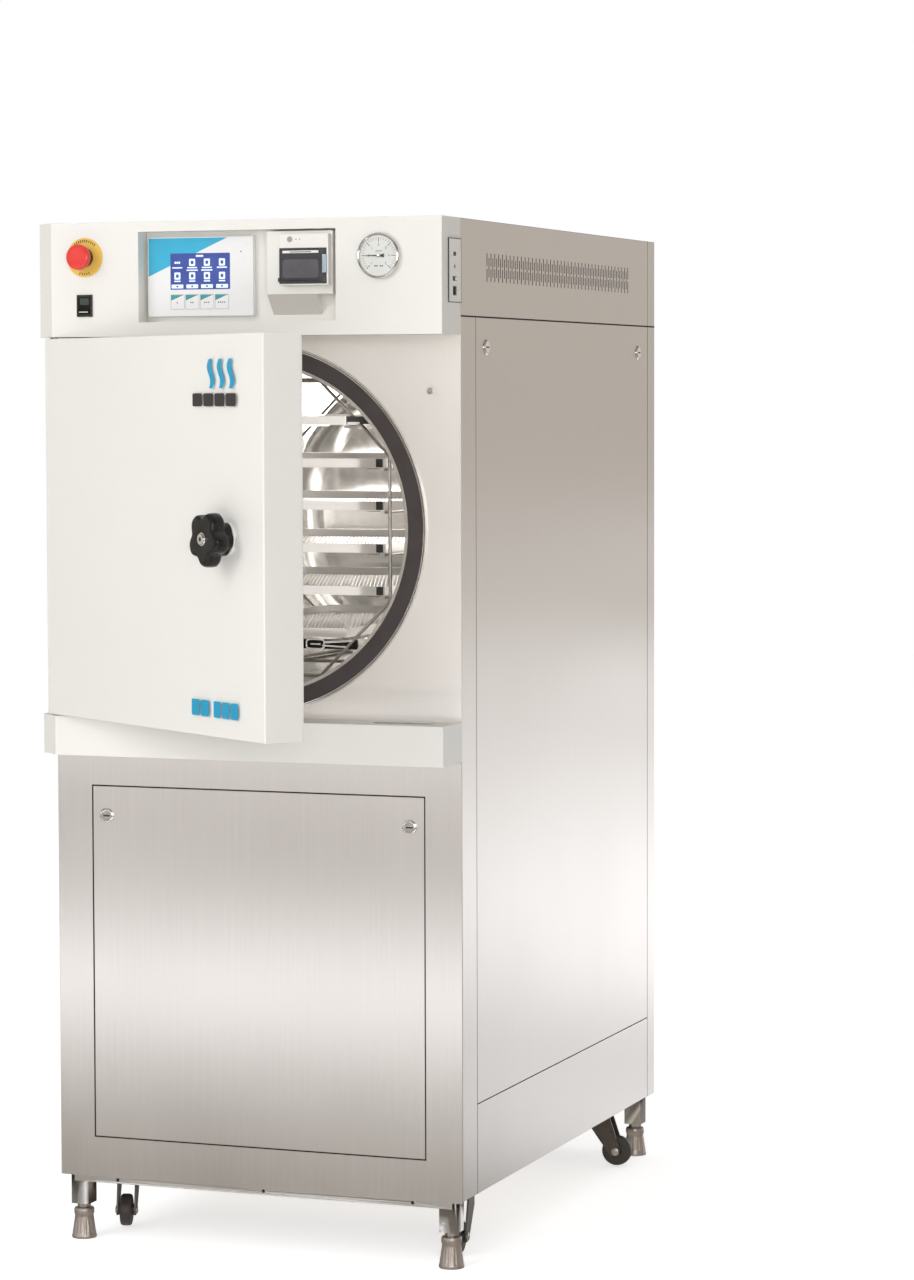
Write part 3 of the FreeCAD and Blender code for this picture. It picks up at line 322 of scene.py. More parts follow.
def lit(name, colour, dark, strength):
    """A screen colour that glows a little and drifts in brightness across the display."""
    material, tree, shader = new_material(name)
    tint = blend_to(tree, noise(tree, (30, 30, 30), 2.0), dark, colour)
    tree.links.new(tint, shader.inputs["Base Color"])
    tree.links.new(tint, shader.inputs["Emission Color"])
    shader.inputs["Emission Strength"].default_value = strength
    glossy = ranged(tree, noise(tree, (400, 400, 400)), 0.12, 0.2)
    tree.links.new(glossy, shader.inputs["Roughness"])
    return material


screen_blue = lit("screen_blue", (0.045, 0.075, 0.29), (0.035, 0.058, 0.24), 0.42)
screen_white = lit("screen_symbol", (0.72, 0.80, 0.92), (0.62, 0.72, 0.88), 0.35)


def clear_cover(name):
    material, tree, shader = new_material(name)
    haze = ranged(tree, noise(tree, (300, 300, 300)), 0.01, 0.05)
    tree.links.new(haze, shader.inputs["Roughness"])
    tint = blend_to(tree, noise(tree, (20, 20, 20)), (0.93, 0.94, 0.94), (0.97, 0.97, 0.97))
    tree.links.new(tint, shader.inputs["Base Color"])
    shader.inputs["Transmission Weight"].default_value = 1.0
    shader.inputs["IOR"].default_value = 1.1
    return material


gauge_glass = clear_cover("gauge_glass")


# ------------------------------ mesh building
def register(mesh, name, body, material, replaces=(), smooth=40.0):
    """Makes a mesh a piece that rides on a body."""
    mesh.materials.append(material)
    for polygon in mesh.polygons:
        polygon.use_smooth = True
    mesh.set_sharp_from_angle(angle=math.radians(smooth))
    piece = bpy.data.objects.new(name, mesh)
    scene.collection.objects.link(piece)
    weighted = piece.modifiers.new("face_weighted_normals", "WEIGHTED_NORMAL")
    weighted.keep_sharp = True
    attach(piece, body)
    if replaces:
        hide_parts(*replaces)
    return piece


class Build:
    """A mesh under construction, in millimetres."""

    AXES = {"x": (0, 1, 2), "y": (1, 0, 2), "z": (2, 0, 1)}

    def __init__(self):
        self.bm = bmesh.new()

    def point(self, axis, along, a, b):
        index = self.AXES[axis]
        where = [0.0, 0.0, 0.0]
        where[index[0]], where[index[1]], where[index[2]] = along, a, b
        return where

    def prism(self, outline, axis, start, end):
        """An outline in the two other axes, drawn out along one axis."""
        rings = [
            [self.bm.verts.new(self.point(axis, along, a, b)) for a, b in outline]
            for along in (start, end)
        ]
        self.bm.faces.new(rings[0])
        self.bm.faces.new(list(reversed(rings[1])))
        self.between(rings[0], rings[1])
        return self

    def between(self, first, second, closed=True):
        count = len(first)
        for i in range(count if closed else count - 1):
            j = (i + 1) % count
            quad = [first[j], first[i], second[i], second[j]]
            self.bm.faces.new(list(dict.fromkeys(quad)))
        return self

    def box(self, x0, x1, y0, y1, z0, z1):
        return self.prism([(x0, z0), (x1, z0), (x1, z1), (x0, z1)], "y", y0, y1)

    def turn(self, axis, centre, radius, along, steps, wave=None):
        """A loop of vertices about an axis; wave scales the radius round the turn."""
        loop = []
        for step in range(steps):
            angle = 2 * math.pi * step / steps
            reach = radius * (wave(angle, radius, along) if wave else 1)
            offset = self.point(axis, along, reach * math.cos(angle), reach * math.sin(angle))
            loop.append(self.bm.verts.new([c + o for c, o in zip(centre, offset)]))
        return loop

    def lathe(self, profile, centre, axis="y", steps=48, wave=None):
        """Turns (radius, along) pairs about an axis."""
        rings = []
        for radius, along in profile:
            if radius == 0:
                rings.append(self.turn(axis, centre, 0, along, 1) * steps)
            else:
                rings.append(self.turn(axis, centre, radius, along, steps, wave))
        for first, second in zip(rings, rings[1:]):
            for i in range(steps):
                j = (i + 1) % steps
                corners = list(dict.fromkeys([first[j], first[i], second[i], second[j]]))
                if len(corners) > 2:
                    self.bm.faces.new(corners)
        return self

    def ring(self, profile, centre, axis="y", steps=96):
        """A closed profile turned about an axis."""
        rings = [self.turn(axis, centre, radius, along, steps) for radius, along in profile]
        for first, second in zip(rings, rings[1:] + rings[:1]):
            self.between(first, second)
        return self

    def tube(self, path, radius, steps=12, closed=False):
        """A round bar swept along points."""
        points = [Vector(p) for p in path]
        count = len(points)
        rings = []
        side = None
        for i, here in enumerate(points):
            ahead = points[(i + 1) % count] if closed or i + 1 < count else here
            behind = points[i - 1] if closed or i > 0 else here
            along = (ahead - behind).normalized()
            if side is None:
                side = along.orthogonal().normalized()
            side = (side - along * side.dot(along)).normalized()
            up = along.cross(side)
            rings.append([
                self.bm.verts.new(
                    here + radius * (
                        side * math.cos(2 * math.pi * k / steps)
                        + up * math.sin(2 * math.pi * k / steps)
                    )
                )
                for k in range(steps)
            ])
        for first, second in zip(rings, rings[1:]):
            self.between(first, second)
        if closed:
            self.between(rings[-1], rings[0])
        else:
            self.bm.faces.new(rings[0])
            self.bm.faces.new(list(reversed(rings[-1])))
        return self

    def rounded(self, radius, segments=3, angle=35.0, only=None):
        """Rounds the edges that turn by more than an angle."""
        bmesh.ops.recalc_face_normals(self.bm, faces=self.bm.faces)
        edges = [
            edge for edge in self.bm.edges
            if len(edge.link_faces) == 2 and edge.calc_face_angle(0) > math.radians(angle)
            and (only is None or only(edge))
        ]
        bmesh.ops.bevel(
            self.bm, geom=edges, offset=radius, offset_type="OFFSET", segments=segments,
            profile=0.5, affect="EDGES", clamp_overlap=True,
        )
        return self

    def done(self, name, body, material, place=BODY, slot=None, replaces=(), smooth=40.0):
        solid = [face for face in self.bm.faces if not all(
            len(edge.link_faces) == 1 for edge in face.edges
        )]
        if solid:
            bmesh.ops.recalc_face_normals(self.bm, faces=solid)
        self.bm.transform(place)
        mesh = bpy.data.meshes.new(name)
        self.bm.to_mesh(mesh)
        self.bm.free()
        return register(mesh, name, body, material, replaces, smooth)


def refined(node, material, radius, place=BODY, only=None, segments=3, slot=None, angle=35.0):
    """A piece with a CAD node's shape and rounded edges, standing for that node."""
    build = Build()
    build.bm.from_mesh(nodes[node].data)
    build.bm.transform(place.inverted())
    bmesh.ops.remove_doubles(build.bm, verts=build.bm.verts, dist=0.001)
    bmesh.ops.dissolve_limit(
        build.bm, angle_limit=math.radians(0.4), verts=build.bm.verts, edges=build.bm.edges
    )
    build.rounded(radius, segments, angle, only)
    return build.done(
        f"{node}_finished", nodes[node]["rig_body"], material, place, slot, [node]
    )


def finish(node, material):
    """Gives a CAD node that keeps its own mesh a finished material."""
    data = nodes[node].data
    data.materials.clear()
    data.materials.append(material)


# ------------------------------ cabinet
def outer_edges(low, high, tolerance=0.6):
    """Picks edges that lie on the outside box of a part."""
    def chosen(edge):
        middle = (edge.verts[0].co + edge.verts[1].co) / 2
        faces = 0
        for i in range(3):
            near = min(abs(middle[i] - low[i]), abs(middle[i] - high[i]))
            faces += near < tolerance
        return faces >= 2
    return chosen


def border(a0, a1, b0, b1, wide):
    """The four strips along the inside of a rectangle."""
    return (
        (a0, a0 + wide, b0, b1), (a1 - wide, a1, b0, b1),
        (a0 + wide, a1 - wide, b0, b0 + wide), (a0 + wide, a1 - wide, b1 - wide, b1),
    )


def ahead_of(depth, longer=0.0):
    """Picks edges in front of a depth that are longer than a length."""
    def chosen(edge):
        return all(end.co.y < depth for end in edge.verts) and edge.calc_length() > longer
    return chosen


PANEL_EDGES = {
    "corner_posts": 1.0, "side_skirts": 0.8, "left_side_panel": 0.9, "right_side_panel": 0.9,
    "hood": 1.2, "lower_front_frame": 0.8, "service_panel": 0.9, "rear_panel": 0.5,
}
for node, radius in PANEL_EDGES.items():
    refined(node, panel_steel, radius, only=outer_edges(*span(node)), slot="brushed_panel")
refined("base_frame", frame_steel, 0.6, slot="frame_steel")
KEPT_MESHES = {
    "front_plate": front_steel, "vessel_stand": frame_steel, "pressure_vessel": chamber_steel,
    "insulation_jacket": lagging, "door_gasket": gasket_rubber, "steam_generator": machine_steel,
    "vacuum_pump": motor_paint, "pipework": pipe_steel, "control_box": motor_paint,
    "tray_rack": wire_steel, "door_back_panel": white_paint, "pressure_plate": chamber_steel,
    "upper_lock_bar": bright_steel, "lower_lock_bar": bright_steel,
}
for node, material in KEPT_MESHES.items():
    finish(node, material)
LOCKS = ("front_left", "front_right", "side_front", "side_rear")
for lock in LOCKS:
    refined(f"{lock}_lock", bright_steel, 0.4, slot="bright_steel", segments=2)

# painted shade: dark strips for the shadow in the panel seams, the shade round the service panel
# and the shade inside the vent slots
WIDTH, DEPTH = 690, 985
SEAM_PROUD, SEAM_DEEP = 0.06, 0.3
HOOD_SEAM = (1370.4, 1372.6)
SKIRT_SEAM = (143.9, 145.2)
# painted shadow: dark strips laid over the hood, post and skirt seams
seam_shadows = Build()
front_seam, rear_seam = (corner.y for corner in span("right_side_panel"))
for x0, x1 in ((-SEAM_PROUD, SEAM_DEEP), (WIDTH - SEAM_DEEP, WIDTH + SEAM_PROUD)):
    seam_shadows.box(x0, x1, 1.6, DEPTH, *HOOD_SEAM)
    seam_shadows.box(x0, x1, front_seam - 1.1, front_seam + 0.2, 3, HOOD_SEAM[0])
    seam_shadows.box(x0, x1, rear_seam - 0.2, rear_seam + 1.1, 3, HOOD_TOP)
    seam_shadows.box(x0, x1, front_seam, rear_seam, *SKIRT_SEAM)
seam_shadows.done("cabinet_seam_shadows", "cabinet", seam_shade)
PANEL_GAP, GAP_WIDE, GAP_SPREAD = (60, 630, 64, 632), 2, 0.4
# painted shade: dark strips behind the gap round the service panel
gap = Build()
for x0, x1, z0, z1 in border(*PANEL_GAP, GAP_WIDE):
    gap.box(x0 - GAP_SPREAD, x1 + GAP_SPREAD, 0.35, 1.2, z0 - GAP_SPREAD, z1 + GAP_SPREAD)
gap.done("service_panel_gap_shade", "cabinet", seam_shade)
SHADE_SHEET, SHADE_SHEET_IN, VENT_DEPTHS, VENT_HEIGHTS = 0.6, 0.4, (105, 845), (1400, 1500)
# painted shade: dark sheets behind the vent slots for the shade inside the hood
slot_shades = Build()
for x in (SHADE_SHEET_IN, WIDTH - SHADE_SHEET_IN - SHADE_SHEET):
    slot_shades.box(x, x + SHADE_SHEET, *VENT_DEPTHS, *VENT_HEIGHTS)
slot_shades.done("vent_slot_shades", "cabinet", seam_shade)

# fascia and sill
refined("fascia", white_paint, 2.2, slot="white_paint", only=ahead_of(-1))
refined("sill", white_paint, 2.2, slot="white_paint", only=ahead_of(-1))

# door
refined("door_shell", white_paint, 2.6, DOOR, slot="white_paint", only=ahead_of(-17, 40))

# ------------------------------ outlines and print
PROUD = 0.12


def rectangle(x0, x1, z0, z1):
    """Corners of an upright rectangle."""
    return [(x0, z0), (x1, z0), (x1, z1), (x0, z1)]


def rounded_outline(x0, x1, z0, z1, radius, steps=5):
    """A rectangle with rounded corners."""
    points = []
    corners = (
        (x1 - radius, z1 - radius, 0), (x0 + radius, z1 - radius, 90),
        (x0 + radius, z0 + radius, 180), (x1 - radius, z0 + radius, 270),
    )
    for cx, cz, start in corners:
        for step in range(steps + 1):
            angle = math.radians(start + 90 * step / steps)
            points.append((cx + radius * math.cos(angle), cz + radius * math.sin(angle)))
    return points


def printed(name, body, outlines, face, material, place=BODY, thick=PROUD, slot=None):
    """Patches of print standing a hair proud of a front face."""
    build = Build()
    for outline in outlines:
        build.prism(outline, "y", face - thick, face + 0.04)
    return build.done(name, body, material, place, slot)


def blocks_between(x0, x1, z0, z1, count, gap, radius=1.0):
    """A row of plain blocks, standing where a label would be."""
    width = (x1 - x0 - gap * (count - 1)) / count
    return [
        rounded_outline(x0 + i * (width + gap), x0 + i * (width + gap) + width, z0, z1, radius)
        for i in range(count)
    ]


def hexagon(cx, cz, radius, start=0):
    """Six corners round a centre."""
    turns = [math.radians(start + 60 * k) for k in range(6)]
    return [(cx + radius * math.cos(turn), cz + radius * math.sin(turn)) for turn in turns]


def stroke(cx, cz, radius, degrees, length, width):
    """A short line on a dial, pointing away from its centre."""
    angle = math.radians(degrees)
    along = Vector((math.cos(angle), math.sin(angle)))
    across = Vector((-along.y, along.x)) * width / 2
    near = Vector((cx, cz)) + along * radius
    far = near + along * length
    return [tuple(near - across), tuple(far - across), tuple(far + across), tuple(near + across)]


# ------------------------------ door
door_face = span("door_shell", DOOR)[0].y


def steam_wave(middle, z0, z1, width=12.0, sway=4.5, steps=16):
    """An upright wave, thickest half way up."""
    left, right = [], []
    for step in range(steps + 1):
        part = step / steps
        x = middle + sway * math.sin(2 * math.pi * part)
        z = z0 + part * (z1 - z0)
        half = width / 2 * (0.75 + 0.25 * math.sin(math.pi * part))
        left.append((x - half, z))
        right.append((x + half, z))
    return left + right[::-1]


waves = [steam_wave(x, 1261, 1304) for x in (549, 577, 605)]
bars = blocks_between(497, 619, 1235, 1254, 4, 5, 2.5)
lower_bars = blocks_between(489, 538, 780, 804, 2, 5, 2.5)
lower_bars += blocks_between(552, 620, 780, 804, 3, 5, 2.5)
printed("door_mark_steam", "door", waves, door_face, cyan_print, DOOR, slot="cyan_mark")
printed("door_mark_bars", "door", bars, door_face, dark_print, DOOR)
printed("door_lower_bars", "door", lower_bars, door_face, cyan_print, DOOR, slot="cyan_mark")

knob_x, knob_z = middle_of("door_knob", DOOR)[0], 1043.0
KNOB_LOBES, KNOB_WAIST, KNOB_ROUND, KNOB_BLEND = 5, 0.22, 20, 8
FIRST_WAIST = math.radians(60)


def lobes(angle, radius, along):
    """Waists between the knob's lobes; within KNOB_ROUND of its middle it stays round."""
    if radius < KNOB_ROUND:
        return 1
    dip = (0.5 - 0.5 * math.cos(KNOB_LOBES * (angle - FIRST_WAIST))) ** 1.5
    return 1 - KNOB_WAIST * dip * min(1, (radius - KNOB_ROUND) / KNOB_BLEND)


Build().lathe(
    [(15, -84.3), (24.4, -84.3), (25.2, -85.2), (25.4, -90), (26.4, -94.5), (29, -97.2),
     (33, -98.8), (37.5, -101), (40.6, -104), (41.2, -109), (41, -116), (40.2, -120),
     (38.4, -122.6), (36, -123.8), (33, -124), (28, -124), (19.9, -123.9), (11, -123.8),
     (9.8, -123.2), (9.4, -122.2), (9.4, -120.5), (0, -120.5)],
    (knob_x, 0, knob_z), steps=160, wave=lobes,
).done("door_knob_crown", "knob", black_gloss, DOOR, "knob_black", ["door_knob"], smooth=50)
refined("lock_shaft", bright_steel, 0.7, DOOR, slot="bright_steel", segments=2)
shaft_face = span("lock_shaft", DOOR)[0].y
# painted shade: a dark hexagon for the shade inside the shaft's hex socket
printed("lock_shaft_socket_shade", "knob", [hexagon(knob_x, knob_z, 3.6)], shaft_face, dark_print, DOOR)

# ------------------------------ touch panel
panel_low, panel_high = span("touch_panel")
panel_face = panel_low.y
refined("touch_panel", membrane, 1.0, slot="touch_membrane")
left, top = panel_low.x + 1.6, panel_high.z - 1.8
CORNER_WIDE, CORNER_HIGH = 134, 59
SCREEN = (230.0, 331.0, 1415.5, 1471.5)
SCREEN_COLUMNS, SCREEN_ROWS = (241.8, 267.0, 292.0, 317.6), (1457.4, 1436.6)
printed(
    "panel_corner_colour", "cabinet",
    [[(left, top), (left, top - CORNER_HIGH), (left + CORNER_WIDE, top)]], panel_face, pale_cyan,
)
printed(
    "panel_display", "cabinet", [rounded_outline(*SCREEN, 0.8)], panel_face, screen_blue,
    thick=0.24, slot="screen_blue",
)
symbols = [rounded_outline(273.5, 286, 1465.8, 1468.8, 0.8)]
details = []
for column, x in enumerate(SCREEN_COLUMNS):
    for row, z in enumerate(SCREEN_ROWS):
        if column == 0 and row == 0:
            symbols += [rounded_outline(x + dx - 1.5, x + dx + 1.5, z - 2, z + 1.6, 1.2)
                        for dx in (-3.4, 0, 3.4)]
        else:
            symbols.append(rounded_outline(x - 5.2, x + 5.2, z - 5.6, z + 5.6, 1.4))
            details.append(rounded_outline(x - 2.2, x + 2.2, z - 2.6, z + 2.4, 1.0))
        wide = 8.6 if row == 0 else 5.4
        symbols.append(rounded_outline(x - wide, x + wide, z - 9.1, z - 7.1, 0.8))
        if row == 0 and column in (1, 2):
            symbols.append(rounded_outline(x - wide - 1, x + wide + 1, z - 13.1, z - 11.1, 0.8))
    symbols.append(rounded_outline(x - 10, x + 10, 1417.4, 1423.4, 0.8))
    details.append(rounded_outline(x - 1.8, x + 1.8, 1419.2, 1421.6, 1.0))
printed("panel_symbols", "cabinet", symbols, panel_face, screen_white, thick=0.34)
printed("panel_symbol_cores", "cabinet", details, panel_face, screen_blue, thick=0.42)
KEY_LEFTS = (230.2, 255.2, 280.3, 305.4)
KEY_WIDE, KEY_LOW, KEY_HIGH, KEY_LINE = 23.4, 1384.8, 1408, 0.6
key_lines, key_faces, key_corners, key_dots = [], [], [], []
for number, x in enumerate(KEY_LEFTS, start=1):
    key_lines.append(rounded_outline(x, x + KEY_WIDE, KEY_LOW, KEY_HIGH, 1.0))
    key_faces.append(rounded_outline(
        x + KEY_LINE, x + KEY_WIDE - KEY_LINE, KEY_LOW + KEY_LINE, KEY_HIGH - KEY_LINE, 0.8
    ))
    key_corners.append([
        (x + KEY_LINE, KEY_HIGH - 0.8), (x + KEY_LINE, KEY_HIGH - 9.4), (x + 21.6, KEY_HIGH - 0.8)
    ])
    key_dots += [
        rounded_outline(x + 11.7 + 3.4 * (i - number / 2), x + 13.7 + 3.4 * (i - number / 2),
                        1394.4, 1396.4, 0.9)
        for i in range(number)
    ]
printed("key_outlines", "cabinet", key_lines, panel_face, grey_print, thick=0.08)
printed("key_faces", "cabinet", key_faces, panel_face, membrane, thick=0.16)
printed("key_corners", "cabinet", key_corners, panel_face, green_print, thick=0.24)
printed(
    "key_dots", "cabinet", key_dots + [rounded_outline(348.6, 350.6, 1472, 1474, 0.95)],
    panel_face, dark_print, thick=0.3,
)

# ------------------------------ printer
printer_low, printer_high = span("printer_body")
cover_low, cover_high = span("printer_cover")
bezel_face, TRIM_HEIGHT = -85.0, 1489
refined("printer_body", printer_white, 1.1, slot="printer_case", only=ahead_of(-71, 6))
Build().lathe(
    [(0, bezel_face), (4.4, bezel_face), (4.4, bezel_face - 0.5), (3.9, bezel_face - 0.9),
     (0, bezel_face - 1.0)], (printer_low.x + 17.7, 0, TRIM_HEIGHT), steps=40,
).done("printer_feed_button", "cabinet", grey_print)
lamps = Build()
for x in (printer_low.x + 28, printer_low.x + 34):
    lamps.lathe(
        [(0, bezel_face), (1.1, bezel_face), (0.9, bezel_face - 0.4), (0, bezel_face - 0.6)],
        (x, 0, TRIM_HEIGHT), steps=20,
    )
lamps.done("printer_lamps", "cabinet", grey_print)
lever_x, LEVER_WIDE, LEVER_HEIGHTS = printer_high.x - 8.7, 5.9, (1437.8, 1465.2)
Build().box(
    lever_x, lever_x + LEVER_WIDE, bezel_face - 3.7, bezel_face - 0.2, *LEVER_HEIGHTS
).rounded(1.3, 3).done("printer_lever", "cabinet", lever_plastic)
Build().box(cover_low.x + 0.6, cover_high.x - 0.6, -76.4, -76.05, 1425.4, 1474.6).done(
    "printer_window_back", "cabinet", black_plastic
)
window_frame = Build()
window_frame.box(
    printer_low.x + 0.3, printer_high.x - 2.6, bezel_face - 0.35, bezel_face + 0.04, 1421, 1475.6
)
for x in (printer_low.x - 0.1, printer_high.x - 9.6):
    window_frame.box(x, x + 3.7, -89.6, bezel_face, 1423.9, 1430.1)
window_frame.done("printer_window_frame", "cabinet", smoked_plastic)
refined("printer_cover", smoked_plastic, 0.9, slot="smoked_cover")
cover_face = cover_low.y
roll_left, roll_right = cover_low.x + 7, cover_high.x - 8
# painted shade: the console's underside in the darker copy of the white paint
Build().prism(
    [(-72.15, 1405.9), (-46.15, 1374.9), (-46, 1375.1), (-72, 1406.1)], "x", 400.4, 480.6
).done("console_underside_painted_shade", "cabinet", painted_shade_paint)
COVER_PRINT = (
    ("printer_cover_roll", 0, (1430, 1458, 5), smoked_bulge, 0.25),
    ("printer_paper_slot", 0, (1467.6, 1471.4, 0.8), printer_white, 0.2),
    # painted shade: a dark strip for the shade inside the paper slot's gap
    ("printer_slot_gap_shade", 12, (1468.8, 1470.0, 0.5), dark_print, 0.3),
)
for name, inset, heights, material, thick in COVER_PRINT:
    outline = rounded_outline(roll_left + inset, roll_right - inset, *heights)
    printed(name, "cover", [outline], cover_face, material, thick=thick)

# ------------------------------ gauge
gauge_x, _, gauge_z = middle_of("gauge_case")
centre = (gauge_x, 0, gauge_z)
DIAL = -83.2
DIAL_START, DIAL_STEP, DIAL_DIVISIONS, DIAL_PARTS = 225, 45, 6, 5
FIGURE_RADIUS, MARK_ENDS = 16.4, 28
LONG_MARK, SHORT_MARK = (7.5, 0.9), (3.8, 0.4)
Build().ring(
    [(35, -80.1), (35, -84.6), (34.4, -86.4), (33.2, -87.6), (32, -88), (31.2, -87.6),
     (30.8, -86.6), (30.4, -83.3), (30.4, -80.1)], centre, steps=128,
).done("gauge_bezel", "cabinet", chrome, BODY, "chrome_trim", ["gauge_case"])
Build().lathe(
    [(0, DIAL + 3), (30.6, DIAL + 3), (30.6, DIAL), (0, DIAL)], centre, steps=96
).done("gauge_dial", "cabinet", dial_card, BODY, "dial_white")
scale = []
for division in range(DIAL_DIVISIONS * DIAL_PARTS + 1):
    degrees = DIAL_START - DIAL_STEP * division / DIAL_PARTS
    if division % DIAL_PARTS == 0:
        length, width = LONG_MARK
    else:
        length, width = SHORT_MARK
    scale.append(stroke(gauge_x, gauge_z, MARK_ENDS - length, degrees, length, width))
# strokes of a digit: top, middle, bottom, then upper left, upper right, lower left, lower right
DIGITS = ("tbuvlr", "vr", "tmbvl", "tmbvr", "muvr", "tmbur")
DIGIT_BARS = {
    "t": (-1, 1, 2, 2), "m": (-1, 1, 0, 0), "b": (-1, 1, -2, -2),
    "u": (-1, -1, 0, 2), "v": (1, 1, 0, 2), "l": (-1, -1, -2, 0), "r": (1, 1, -2, 0),
}


def digit(value, cx, cz, unit=0.85, half=0.22):
    """The strokes of one digit of the dial."""
    for key in DIGITS[value]:
        x0, x1, z0, z1 = (step * unit for step in DIGIT_BARS[key])
        yield rectangle(cx + x0 - half, cx + x1 + half, cz + z0 - half, cz + z1 + half)


for value in range(-1, DIAL_DIVISIONS):
    angle = math.radians(DIAL_START - DIAL_STEP * (value + 1))
    x, z = gauge_x + FIGURE_RADIUS * math.cos(angle), gauge_z + FIGURE_RADIUS * math.sin(angle)
    scale += digit(abs(value), x, z)
    if value < 0:
        scale.append(rectangle(x - 3.4, x - 1.7, z - 0.2, z + 0.2))
scale += blocks_between(gauge_x - 5, gauge_x + 5, gauge_z + 6.4, gauge_z + 7.6, 3, 1, 0.3)
for x in (gauge_x - 7, gauge_x + 2):
    scale += blocks_between(x, x + 5, gauge_z - 16.6, gauge_z - 14.6, 2, 0.8, 0.4)
printed("gauge_scale", "cabinet", scale, DIAL, dark_print, thick=0.1)
POINTER_SIDE = ((-24, 0.35), (-2, 0.95), (3, 0.9), (8.4, 2.9), (9, 2.4))
pointer = [(gauge_x + x, gauge_z - z) for x, z in POINTER_SIDE]
pointer += [(gauge_x + x, gauge_z + z) for x, z in reversed(POINTER_SIDE)]
Build().prism(pointer, "y", -85.4, -84.6).done(
    "gauge_pointer", "needle", dark_print, BODY, "needle_black", ["gauge_needle"]
)
Build().lathe(
    [(0, -83.6), (2.6, -83.6), (2.6, -85.6), (2.1, -86.1), (0, -86.2)], centre, steps=32
).done("gauge_hub", "needle", chrome)
Build().lathe(
    [(0, -86.7), (31, -86.7), (31, -87.2), (0, -87.2)], centre, steps=96
).done("gauge_window", "cabinet", gauge_glass, BODY, "gauge_glass")

# ------------------------------ emergency stop
stop_x, _, stop_z = middle_of("estop_plate")
stop_centre = (stop_x, 0, stop_z)
PLATE = -82
Build().lathe(
    [(0, -80.1), (30.5, -80.1), (30.5, -81.4), (29.9, PLATE), (0, PLATE)], stop_centre, steps=96
).done("stop_plate", "cabinet", stop_yellow, BODY, "stop_yellow", ["estop_plate"])
Build().ring(
    [(9, PLATE), (15, PLATE), (15, -92.6), (14.2, -93.4), (9, -93.4)], stop_centre, steps=64
).done("stop_collar", "cabinet", black_plastic)
MARK_RADIUS, MARK_LENGTH, MARK_WIDTH = 24, 3.8, 1.5
marks = [
    stroke(stop_x, stop_z, MARK_RADIUS, degrees, MARK_LENGTH, MARK_WIDTH)
    for degrees in (*range(48, 133, 8), *range(252, 289, 9))
]
printed("stop_plate_marks", "cabinet", marks, PLATE, dark_print)
Build().lathe(
    [(7.9, -87.5), (7.9, -99.4), (17.5, -99.5), (19.4, -99.9), (20, -101), (20, -104.4),
     (19.3, -106.8), (17.6, -108.7), (14, -110), (8, -110.8), (0, -111)], stop_centre, steps=80,
).done("stop_mushroom", "stop_button", stop_red, BODY, "stop_red", ["estop_button"], smooth=60)

# ------------------------------ power switch
refined("switch_frame", black_plastic, 1.4, slot="switch_black", only=ahead_of(-79.5))
switch_x, _, switch_z = middle_of("switch_frame")
ROCKER = BODY @ Matrix.Translation((switch_x, -79, switch_z)) @ Matrix.Rotation(
    math.radians(-8), 4, "X"
)
refined("switch_rocker", black_gloss, 0.7, ROCKER, slot="switch_black")
LENS_HALF = 7.6
Build().prism(
    [(-3.35, 1.2), (-5.45, 10.8), (-5.3, 11.2), (-3.0, 1.0)], "x", -LENS_HALF, LENS_HALF
).done("switch_lens", "rocker", switch_lens, ROCKER)
Build().prism(
    [(-5.62, -11.7), (-5.2, -9.6), (-4.9, -9.7), (-5.3, -11.75)], "x", -LENS_HALF, LENS_HALF
).done("switch_light_edge", "rocker", pale_green, ROCKER)

# ------------------------------ connection plate
plate_out = span("port_plate")[1].x
PORT_RIM, RIM_WIDE = (-55, -1, 1391, 1489), 1.4
refined("port_plate", printer_white, 0.5, slot="port_black", segments=2)
rim = Build()
for y0, y1, z0, z1 in border(*PORT_RIM, RIM_WIDE):
    rim.box(plate_out - 1.5, plate_out + 0.15, y0, y1, z0, z1)
rim.done("port_plate_rim", "cabinet", dark_grey)
sockets = Build()
sockets.box(plate_out - 6, plate_out - 0.5, -34.6, -22.4, 1462.3, 1467.7)
sockets.box(plate_out - 6, plate_out - 0.6, -37.6, -19.4, 1424.3, 1430.7)
sockets.box(plate_out - 6, plate_out - 0.6, -36.6, -20.4, 1402.4, 1415.6)
sockets.done("port_sockets", "cabinet", black_plastic)
Build().ring(
    [(3.9, plate_out - 6), (3.9, plate_out - 0.3), (1.9, plate_out - 0.3), (1.9, plate_out - 6)],
    (0, -28.5, 1446), "x", steps=32,
).done("port_jack", "cabinet", zinc_steel)
Build().box(plate_out - 1.2, plate_out + 0.6, -26.5, -19.6, 1425, 1430).rounded(0.4, 2).done(
    "port_slide", "cabinet", printer_white
)
Build().lathe(
    [(0, plate_out - 2), (5.6, plate_out - 2), (5.6, plate_out + 0.2), (4.6, plate_out + 0.7),
     (0, plate_out + 0.9)], (0, -28.5, 1409), "x", steps=32,
).done("port_round_cap", "cabinet", black_gloss)

